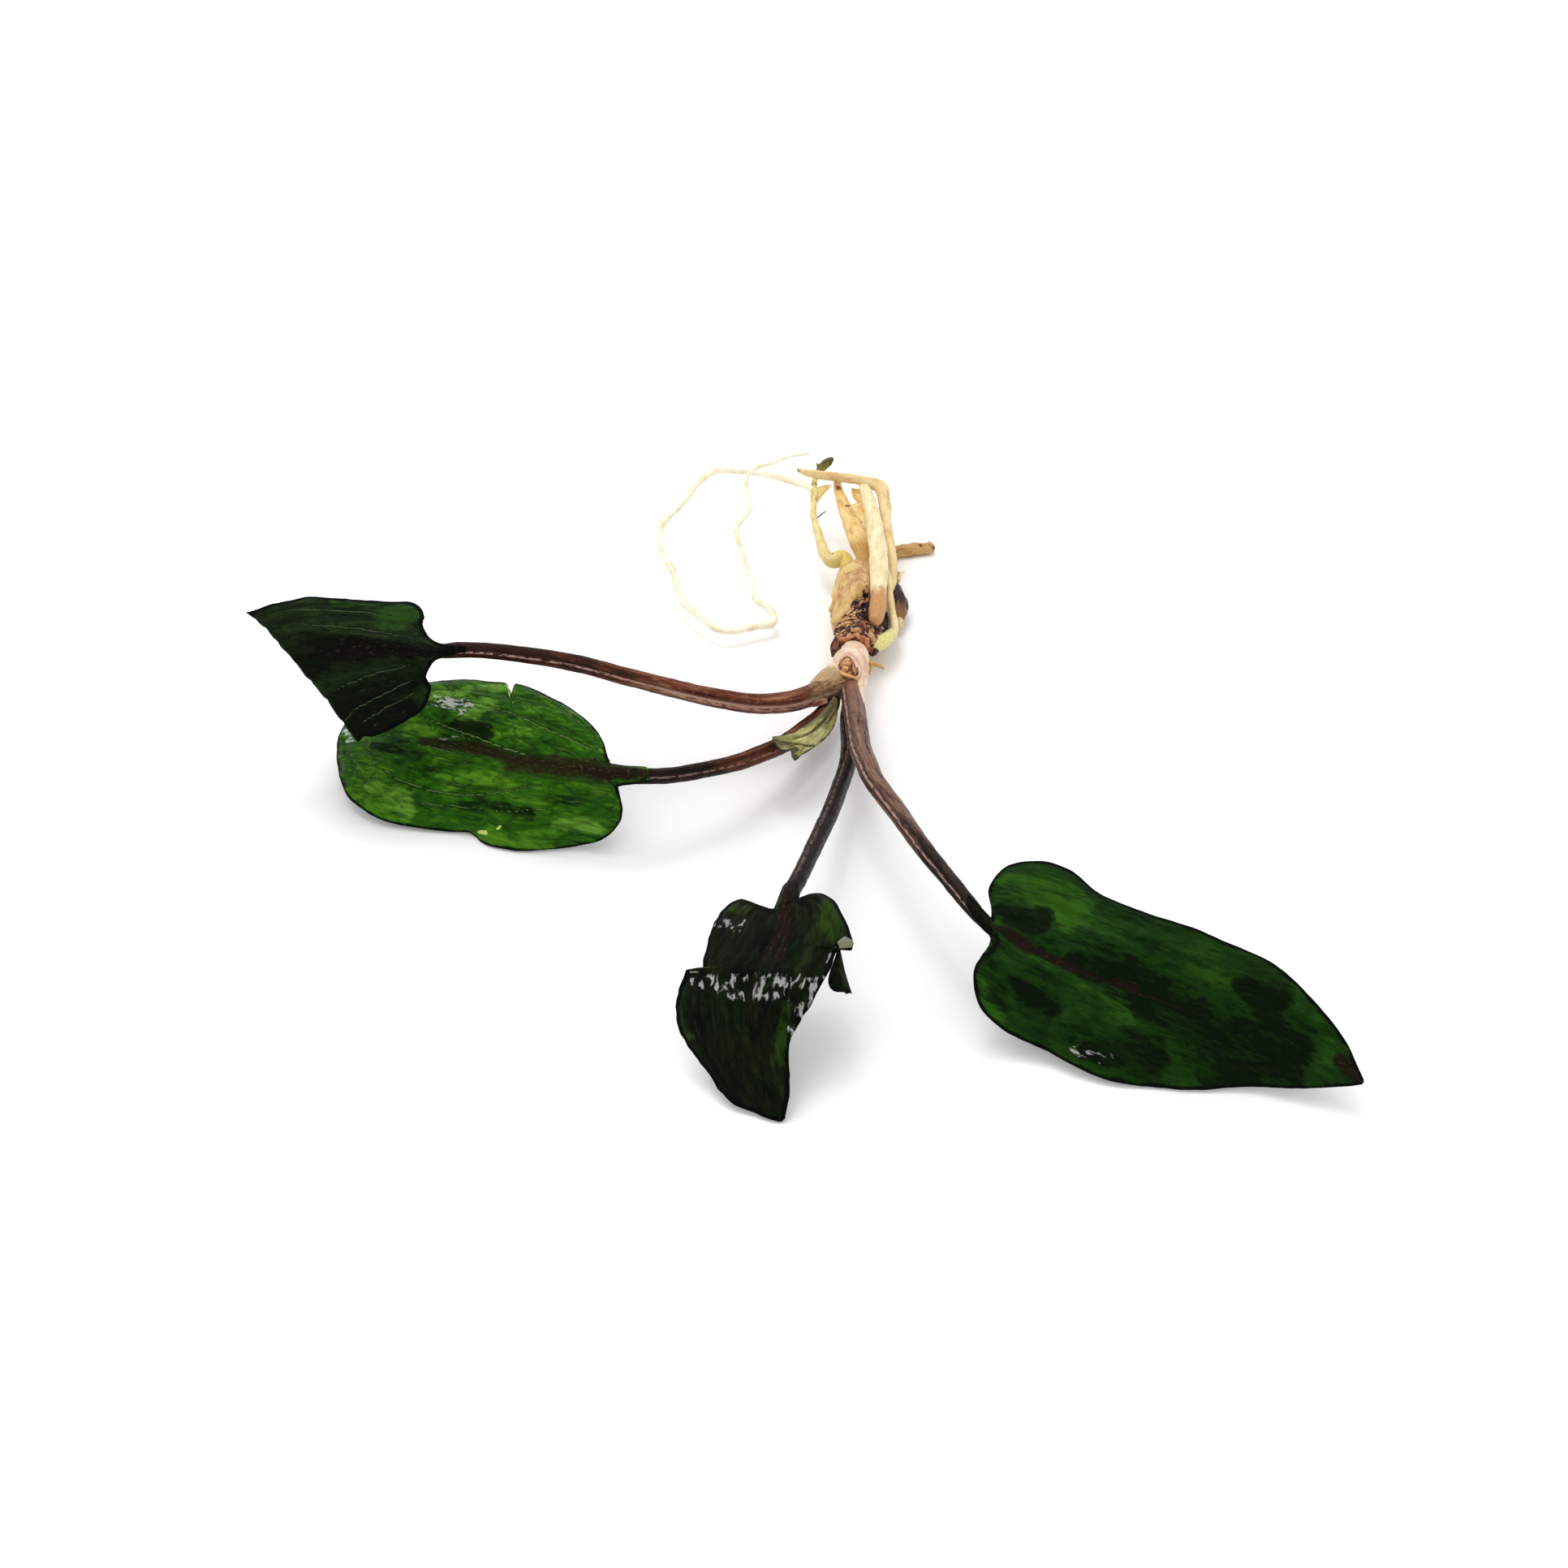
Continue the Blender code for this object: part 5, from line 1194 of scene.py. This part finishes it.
def build_leaves(settings, stalks):
    """The four leaves, each with its stalk."""
    looks = {
        "right": {"green": settings.right_green, "light": paint(36, 70, 15), "dark": paint(6, 24, 4),
                  "other": paint(22, 42, 10), "bright": paint(46, 88, 16), "pale": paint(110, 124, 92),
                  "rib": paint(22, 16, 9), "rib_speckle": paint(46, 36, 24), "vein_shadow": 0.12, "vein_line_and_highlight": 0.0,
                  "cell_border_shade": 0.2, "rim": 1.2,
                  "marbling": 2.6, "cell_highlight": 0.1},
        "near_left": {"green": settings.near_green, "light": paint(76, 124, 26), "dark": paint(10, 34, 4),
                      "other": paint(28, 78, 10), "bright": paint(102, 152, 50), "pale": paint(178, 198, 106), "vein_line_and_highlight": 0.3,
                      "vein_shadow": 0.35, "roughness": 0.36, "cell_border_shade": 0.5, "rim": 1.5, "cell_highlight": 0.45},
        "far_left": {"green": settings.dark_green, "light": paint(32, 48, 20), "dark": paint(7, 14, 5),
                     "other": paint(22, 26, 14), "bright": paint(40, 78, 20), "pale": paint(206, 208, 180),
                     "rib": paint(8, 7, 4), "rib_speckle": paint(40, 34, 24), "line": paint(84, 102, 68),
                     "vein_line_and_highlight": 0.1, "blot": paint(5, 9, 4)},
        "front": {"green": paint(13, 22, 8), "light": paint(28, 38, 16), "dark": paint(3, 6, 3),
                  "other": paint(20, 20, 10), "bright": paint(44, 66, 14), "rib": paint(24, 15, 10),
                  "rib_speckle": paint(58, 40, 32), "vein_line_and_highlight": 0.0, "pale": paint(122, 124, 104),
                  "margin": paint(3, 4, 3), "line": paint(26, 32, 22)},
    }
    common = {"shine": 0.03, "cell_border_shade": 0.4, "vein_shadow": 0.3, "vein_line_and_highlight": 0.15, "vein": paint(96, 116, 62),
              "line": paint(112, 140, 76), "pale": paint(196, 208, 96), "blot": paint(4, 12, 3),
              "rib": paint(28, 20, 11), "rib_speckle": paint(68, 54, 32), "margin": settings.margin,
              "underside": paint(64, 80, 46), "roughness": 0.42, "rim": 1.0, "marbling": 3.4, "cell_highlight": 0.25, "grain": 0.45}
    stems = {
        "right": {"dark": paint(60, 38, 34), "main": stalks.purple, "light": paint(154, 122, 106),
                  "foot": paint(138, 96, 72), "foot_speckle": paint(98, 62, 46), "cream": paint(122, 80, 60)},
        "near_left": {"dark": paint(38, 13, 8), "main": paint(82, 38, 20), "light": paint(130, 84, 54),
                      "foot": paint(146, 106, 72), "foot_speckle": paint(84, 44, 28)},
        "far_left": {"dark": paint(60, 24, 15), "main": stalks.brown, "light": paint(160, 112, 82),
                     "foot": paint(158, 128, 92), "foot_speckle": paint(118, 84, 58), "speckled": 0.6,
                     "cream": paint(178, 150, 112), "tip": paint(34, 15, 10)},
        "front": {"dark": paint(8, 5, 6), "main": paint(22, 14, 14), "light": paint(54, 38, 36),
                  "foot": paint(50, 32, 32), "foot_speckle": paint(24, 13, 15), "speckled": 0.25},
    }
    # Of these colours, the grooves' one is painted shade and the ridges' one colours the painted highlight stripes.
    plain = {"speckled": 0.4, "tip": paint(12, 7, 5), "band": paint(196, 154, 134), "groove": paint(18, 7, 7),
             "cream": paint(110, 66, 46), "ridge": paint(186, 150, 140)}
    for name, leaf in LEAVES.items():
        shell = Shell(name)
        skin = leaf_finish(name + "_blade", {**common, **looks[leaf["finish"]]})
        blade = add_blade(shell, leaf, skin, settings)
        for first, second, bright, pale in leaf.get("flaps", ()):
            add_patch(shell, first, second, skin, seed=leaf["seed"], under=0.0, bright=bright, torn=pale)
        add_stalk(shell, leaf, blade, stalk_finish(name + "_stalk", {**plain, **stems[leaf["finish"]]}))
        shell.finish(leaf["slot"], *leaf["nodes"])


def build_young_leaf(settings):
    """The short rolled young leaf beside the crown."""
    look = {"shine": 0.1, "cell_border_shade": 0.12, "vein_shadow": 0.12, "vein_line_and_highlight": 0.1, "vein": paint(206, 214, 160),
            "pale": paint(214, 224, 170), "blot": paint(40, 34, 30), "rib": paint(84, 72, 44),
            "rib_speckle": paint(124, 112, 72), "margin": paint(44, 44, 34), "underside": paint(150, 160, 112),
            "roughness": 0.42, "green": paint(158, 152, 90), "light": paint(184, 178, 122),
            "dark": paint(122, 116, 66), "other": paint(146, 134, 78), "bright": paint(200, 196, 140),
            "line": paint(20, 20, 14), "rim": 3.4, "marbling": 1.6, "cell_highlight": 0.3, "grain": 0.25}
    shell = Shell("young_leaf_rolled")
    add_blade(shell, YOUNG_LEAF, leaf_finish("young_leaf_blade", look), settings, 160, 61)
    shell.finish("leaf_young", "young_leaf")


def build_rhizome(settings):
    """The rhizome with its scars, its rotted hollow and the old root that is half sunk in it."""
    shell = Shell("rhizome_body")
    along, angle = lump_lattice(200, 240)
    axis = smooth(RHIZOME_LINE)
    points = lump_point(axis, RHIZOME_RADIUS, rhizome_shape, along, angle)
    out = unit(points - read(axis, along.ravel()).reshape(points.shape))
    scar = step(0.74, 0.84, along)
    rot = np.exp(-((angle - 0.95) / 0.9) ** 2 - ((along - 0.66) / 0.18) ** 2)
    tint = np.exp(-((angle - 2.4) / 0.7) ** 2 - ((along - 0.12) / 0.22) ** 2)
    torn = (1 - 2 * np.abs(noise(points, 1.0, 6))) * (0.25 * scar + 0.3 * np.exp(-((rot - 0.45) / 0.25) ** 2))
    fine = 0.16 * noise(points, 1.3, 2) + 0.1 * noise(points, 0.6, 3)
    points = points + out * (fine + torn)[..., None]
    shell.add(points, lattice_faces(*along.shape, wrap=True), rhizome_finish("rhizome_skin"),
              place=points.reshape(-1, 3), scar=scar.ravel(), rot=rot.ravel(), tint=tint.ravel())
    skins = {
        "old_root": tissue_finish("old_root_skin", (paint(182, 140, 86), paint(202, 164, 104), paint(218, 188, 134)),
                                  paint(160, 116, 70), paint(216, 194, 120), 1.1, 0.45, 0.2, 0.15, 0.3),
        "scar": scar_finish("scar_ridge_skin", paint(222, 176, 134), paint(156, 102, 70), paint(52, 12, 12),
                            paint(196, 146, 104)),
        "rim": tissue_finish("rotted_rim_skin", (paint(120, 56, 40), paint(198, 142, 116), paint(226, 184, 158)),
                             paint(60, 16, 14), paint(150, 80, 60), 0.7, 0.4, 0.25),
        "lip": tissue_finish("scar_lip_skin", (paint(120, 62, 36), paint(184, 122, 76), paint(222, 170, 122)),
                             paint(80, 26, 18), paint(190, 120, 70), 0.7, 0.4, 0.2),
        # The dark crease tubes stand for the shade in the seams.
        "crease": tissue_finish("crease_shade_skin", (paint(40, 12, 10), paint(84, 40, 26), paint(120, 72, 46)),
                                paint(30, 8, 8), paint(60, 30, 20), 0.6, 0.5, 0.1),
        "flap": scar_finish("torn_flap_skin", paint(150, 96, 66), paint(84, 40, 28), paint(30, 8, 8),
                            paint(110, 62, 42), 0.7),
        "dark": tissue_finish("rotted_skin", (paint(12, 4, 5), paint(24, 8, 8), paint(52, 22, 18)),
                              paint(90, 40, 30), paint(60, 30, 24), 0.7, 0.4, 0.3),
        "tooth": tissue_finish("tooth_skin", (paint(206, 170, 120), paint(236, 212, 168), paint(244, 230, 200)),
                               paint(130, 70, 40), paint(220, 190, 140), 0.6, 0.4, 0.25, 0.1),
    }
    for number, (skin, thick, *marks) in enumerate(RHIZOME_RIDGES):
        places = np.array(marks, dtype=float)
        line = lump_point(axis, RHIZOME_RADIUS, rhizome_shape, places[:, 0], places[:, 1])
        radius = np.full(len(line), thick)
        radius[[0, -1]] *= 0.6
        line = smooth(np.column_stack([line, radius]), 8)
        line[:, :3] += 0.18 * np.stack([noise(line[:, :3], 0.8, number + k) for k in range(3)], 1)
        line[:, 2] -= (0.05 if skin == "old_root" else 0.3) * thick
        add_tube(shell, line, skins[skin], sides=14, gap=0.12, rough=0.25 * thick, seed=number + 40)
    for number, (skin, first, second) in enumerate(RHIZOME_FLAPS):
        add_patch(shell, first, second, skins[skin], 0.3, 0.3, 0.35, number + 60)
    shell.finish("rhizome", "rhizome")


def build_crown(settings):
    """The collar that the stalks come out of, with the scar of a lost leaf and strips of old sheath."""
    shell = Shell("crown_sheath")
    along, angle = lump_lattice(110, 130)
    points = lump_point(smooth(COLLAR_LINE), COLLAR_RADIUS, collar_shape, along, angle)
    points = points + 0.06 * noise(points, 1.1, 5)[..., None]
    cream = tissue_finish("crown_cream", (paint(204, 164, 134), paint(222, 192, 164), paint(236, 216, 196)),
                          paint(186, 142, 114), paint(176, 148, 108), 1.4, 0.36, 0.3, 0.2, 0.3)
    tint = step(7.6, 6.4, points[..., 0]) * step(18.5, 16.5, points[..., 1])
    shell.add(points, lattice_faces(*along.shape, wrap=True), cream, place=points.reshape(-1, 3), tint=tint.ravel())
    add_tube(shell, smooth(HOOD_LINE), cream, sides=24, gap=0.15, rough=0.1, seed=3)
    add_tube(shell, smooth(SHEATH_STRIP), cream, sides=20, gap=0.2, rough=0.08, seed=4)
    add_tube(shell, smooth(LEFT_SHEATH), cream, sides=40, gap=0.15, rough=0.08, seed=5,
             tint=lambda at, angle, reach: step(1.5, 5, at) + 0 * angle)
    scar = scar_finish("leaf_scar_skin", paint(222, 168, 118), paint(150, 92, 56), paint(76, 18, 16),
                       paint(196, 138, 92), 0.7)
    add_patch(shell, SCAR_FAR_EDGE, SCAR_NEAR_EDGE, scar, 0.5, 0.45, 0.18, 8)
    ridge = tissue_finish("scar_ridge", (paint(184, 116, 66), paint(220, 160, 102), paint(234, 186, 134)),
                          paint(120, 60, 34), paint(200, 140, 90), 0.7, 0.4, 0.2)
    # This dark skin colours the painted shadow at the scar's edge and the dark lines between its ridges.
    dark = tissue_finish("scar_shadow_and_lines", (paint(46, 10, 10), paint(84, 20, 18), paint(120, 44, 34)),
                         paint(30, 6, 6), paint(90, 30, 20), 0.6, 0.4, 0.3)
    for number, (skin, line) in enumerate(SCAR_RIDGES):
        add_tube(shell, smooth(line, 8), dark if skin == "dark" else ridge, sides=14, gap=0.12, rough=0.05,
                 seed=number + 70)
    web = tissue_finish("stalk_web", (paint(70, 32, 22), paint(116, 70, 50), paint(168, 126, 104)),
                        paint(60, 24, 18), paint(170, 130, 100), 0.8, 0.4, 0.2)
    add_patch(shell, *STALK_WEB, web, 0.4, 0.2, 0.12, 9)
    shell.finish("crown", "crown_collar", "leaf_scar")


def build_roots(settings):
    """The roots with their knots, rings, side shoots and torn bits, and the dead tissue."""
    skins = {}
    for name, (dark, main, light, speck, tint, under) in ROOT_COLOURS.items():
        colours = (paint(*dark), paint(*main), paint(*light))
        skins[name] = tissue_finish("root_" + name, colours, paint(*speck), paint(*tint), 1.0, 0.42, 0.25, under, 0.25)
    for number, (name, root) in enumerate(ROOTS.items()):
        shell = Shell(name)
        line = smooth(root["line"])
        line[:, :3] += 0.1 * np.stack([noise(line[:, :3], 3.0, number + k) for k in range(3)], 1)
        line[:, 3] *= 1 + 0.07 * noise(line[:, :3], 1.6, number + 5)
        add_tube(shell, line, skins[root["skin"]], sides=28, gap=0.14, flat=root.get("flat", 1.0),
                 shape=root_form(root), rough=root.get("rough", 0.05), seed=number + 20, **root_values(root))
        for count, (skin, flat, shoot) in enumerate(root.get("shoots", ())):
            add_tube(shell, smooth(shoot, 8), skins[skin], sides=14, gap=0.12, flat=flat, rough=0.09,
                     seed=number + count + 80)
        for count, (skin, first, second) in enumerate(root.get("bits", ())):
            add_patch(shell, first, second, skins[skin], 0.2, 0.2, 0.25, number + count + 90)
        shell.finish(root["slot"], root["node"])


def build_stage(settings):
    """The pale floor, the soft light and the camera at the photograph's angle."""
    size = settings.floor_size / 2
    mesh = bpy.data.meshes.new("floor")
    mesh.from_pydata([(-size, -size, 0), (size, -size, 0), (size, size, 0), (-size, size, 0)], [], [(0, 1, 2, 3)])
    floor = bpy.data.objects.new("floor", mesh)
    bpy.context.scene.collection.objects.link(floor)
    finish = Finish("floor_paper", Roughness=0.9, Specular_IOR_Level=0.1)
    mesh.materials.append(finish.done(settings.floor_colour))

    world = bpy.data.worlds.new("light_tent")
    world.use_nodes = True
    world.node_tree.nodes["Background"].inputs["Color"].default_value = (*settings.tent_colour, 1.0)
    world.node_tree.nodes["Background"].inputs["Strength"].default_value = settings.tent_strength
    bpy.context.scene.world = world

    lamp = bpy.data.lights.new("softbox", "AREA")
    lamp.size = 0.36
    lamp.energy = settings.lamp_power
    box = bpy.data.objects.new("softbox", lamp)
    box.location = (-0.1, 0.12, 0.55)
    box.rotation_euler = (-Vector(box.location)).to_track_quat("-Z", "Y").to_euler()
    bpy.context.scene.collection.objects.link(box)

    small = bpy.data.lights.new("small_lamp", "AREA")
    small.size = 0.05
    small.energy = settings.small_lamp_power
    lamp_head = bpy.data.objects.new("small_lamp", small)
    lamp_head.location = (-0.05, 0.16, 0.6)
    lamp_head.rotation_euler = (-Vector(lamp_head.location)).to_track_quat("-Z", "Y").to_euler()
    bpy.context.scene.collection.objects.link(lamp_head)

    camera = bpy.data.objects.new("camera", bpy.data.cameras.new("camera"))
    camera.data.sensor_width = 36.0
    camera.data.lens = settings.lens
    camera.data.clip_start = 0.01
    height = settings.camera_distance * math.sin(settings.camera_elevation)
    back = settings.camera_distance * math.cos(settings.camera_elevation)
    aim = -ORIGIN * MM
    camera.location = (aim[0], aim[1] - back, aim[2] + height)
    camera.rotation_euler = (math.pi / 2 - settings.camera_elevation, 0, 0)
    bpy.context.scene.collection.objects.link(camera)
    bpy.context.scene.camera = camera
    bpy.context.scene.view_settings.view_transform = "Standard"


def colour_property(name, description, value):
    """A colour that the user can change."""
    return FloatVectorProperty(name=name, description=description, default=value, subtype="COLOR", size=3,
                               min=0, max=1)


def length_property(name, description, value):
    """A length that the user can change, in metres."""
    return FloatProperty(name=name, description=description, default=value, unit="LENGTH",
                         subtype="DISTANCE", min=0, precision=5)


class LeafSettings(bpy.types.PropertyGroup):
    """Sizes and colours of the leaves' blades."""
    thickness: length_property("Thickness", "Thickness of a blade between its veins", 0.00036)
    quilting: length_property("Quilting", "How far the veins are sunk between the swollen parts", 0.00013)
    midrib_width: length_property("Midrib width", "Width of the dark zone at the foot of the midrib", 0.0034)
    right_green: colour_property("Right leaf", "Green of the longest leaf", paint(19, 48, 8))
    near_green: colour_property("Near left leaf", "Green of the brightest leaf", paint(38, 84, 10))
    dark_green: colour_property("Far left leaf", "Green of the dark leaf", paint(19, 33, 12))
    margin: colour_property("Margin", "Colour of the blades' edges", paint(4, 6, 4))


class StalkSettings(bpy.types.PropertyGroup):
    """Colours of the stalks."""
    brown: colour_property("Brown stalk", "Main colour of the far left stalk", paint(104, 54, 36))
    purple: colour_property("Purple stalk", "Main colour of the right stalk", paint(114, 84, 72))


class RhizomeSettings(bpy.types.PropertyGroup):
    """A colour for the rhizome, which the builders don't read."""
    skin: colour_property("Skin", "Main colour of the rhizome", paint(188, 152, 112))


class StageSettings(bpy.types.PropertyGroup):
    """The floor, the light and the camera."""
    floor_size: length_property("Floor size", "Side of the floor", 6.0)
    floor_colour: colour_property("Floor", "Colour of the floor", (0.97, 0.97, 0.97))
    tent_colour: colour_property("Tent", "Colour of the light from all round", (1.0, 1.0, 1.0))
    tent_strength: FloatProperty(name="Tent strength", description="Light from all round", default=0.94, min=0)
    lamp_power: FloatProperty(name="Lamp power", description="Power of the softbox, in watts", default=1.05,
                              min=0, unit="POWER")
    small_lamp_power: FloatProperty(name="Small lamp power", description="Power of the lamp that makes glints",
                                    default=0.2, min=0, unit="POWER")
    lens: FloatProperty(name="Lens", description="Focal length in millimetres", default=50.0, min=1)
    camera_distance: length_property("Camera distance", "Distance from the point looked at", 0.27)
    camera_elevation: FloatProperty(name="Camera elevation", description="Angle above the floor",
                                    default=math.radians(38.0), subtype="ANGLE", unit="ROTATION")


class PLANT_OT_leaves(bpy.types.Operator):
    """Make the four leaves with their stalks"""
    bl_idname = "plant.leaves"
    bl_label = "Leaves"

    def execute(self, context):
        build_leaves(context.scene.plant_leaves, context.scene.plant_stalks)
        return {"FINISHED"}


class PLANT_OT_young_leaf(bpy.types.Operator):
    """Make the rolled young leaf"""
    bl_idname = "plant.young_leaf"
    bl_label = "Young leaf"

    def execute(self, context):
        build_young_leaf(context.scene.plant_leaves)
        return {"FINISHED"}


class PLANT_OT_crown(bpy.types.Operator):
    """Make the crown with its leaf scar"""
    bl_idname = "plant.crown"
    bl_label = "Crown"

    def execute(self, context):
        build_crown(context.scene.plant_stalks)
        return {"FINISHED"}


class PLANT_OT_rhizome(bpy.types.Operator):
    """Make the rhizome"""
    bl_idname = "plant.rhizome"
    bl_label = "Rhizome"

    def execute(self, context):
        build_rhizome(context.scene.plant_rhizome)
        return {"FINISHED"}


class PLANT_OT_roots(bpy.types.Operator):
    """Make the roots and the dead tissue beside the rhizome"""
    bl_idname = "plant.roots"
    bl_label = "Roots"

    def execute(self, context):
        build_roots(context.scene.plant_rhizome)
        return {"FINISHED"}


class PLANT_OT_stage(bpy.types.Operator):
    """Make the floor, the light and the camera"""
    bl_idname = "plant.stage"
    bl_label = "Stage"

    def execute(self, context):
        build_stage(context.scene.plant_stage)
        return {"FINISHED"}


class PLANT_PT_panel(bpy.types.Panel):
    """Lists the plant's operators and settings"""
    bl_idname = "PLANT_PT_panel"
    bl_label = "Cryptocoryne plant"
    bl_space_type = "VIEW_3D"
    bl_region_type = "UI"
    bl_category = "Plant"

    def draw(self, context):
        for operator in OPERATORS:
            self.layout.operator(operator.bl_idname)
        for name in SETTINGS:
            box = self.layout.box()
            group = getattr(context.scene, name)
            for key in group.__annotations__:
                box.prop(group, key)


SETTINGS = {"plant_leaves": LeafSettings, "plant_stalks": StalkSettings, "plant_rhizome": RhizomeSettings,
            "plant_stage": StageSettings}
OPERATORS = (PLANT_OT_leaves, PLANT_OT_young_leaf, PLANT_OT_crown, PLANT_OT_rhizome, PLANT_OT_roots,
             PLANT_OT_stage)


def register():
    for group in SETTINGS.values():
        bpy.utils.register_class(group)
    for name, group in SETTINGS.items():
        setattr(bpy.types.Scene, name, PointerProperty(type=group))
    for operator in OPERATORS:
        bpy.utils.register_class(operator)
    bpy.utils.register_class(PLANT_PT_panel)


def unregister():
    bpy.utils.unregister_class(PLANT_PT_panel)
    for operator in reversed(OPERATORS):
        bpy.utils.unregister_class(operator)
    for name, group in SETTINGS.items():
        delattr(bpy.types.Scene, name)
        bpy.utils.unregister_class(group)


def main():
    register()
    bpy.ops.plant.stage()
    bpy.ops.plant.leaves()
    bpy.ops.plant.young_leaf()
    bpy.ops.plant.crown()
    bpy.ops.plant.rhizome()
    bpy.ops.plant.roots()
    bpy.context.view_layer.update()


if __name__ == "__main__":
    main()
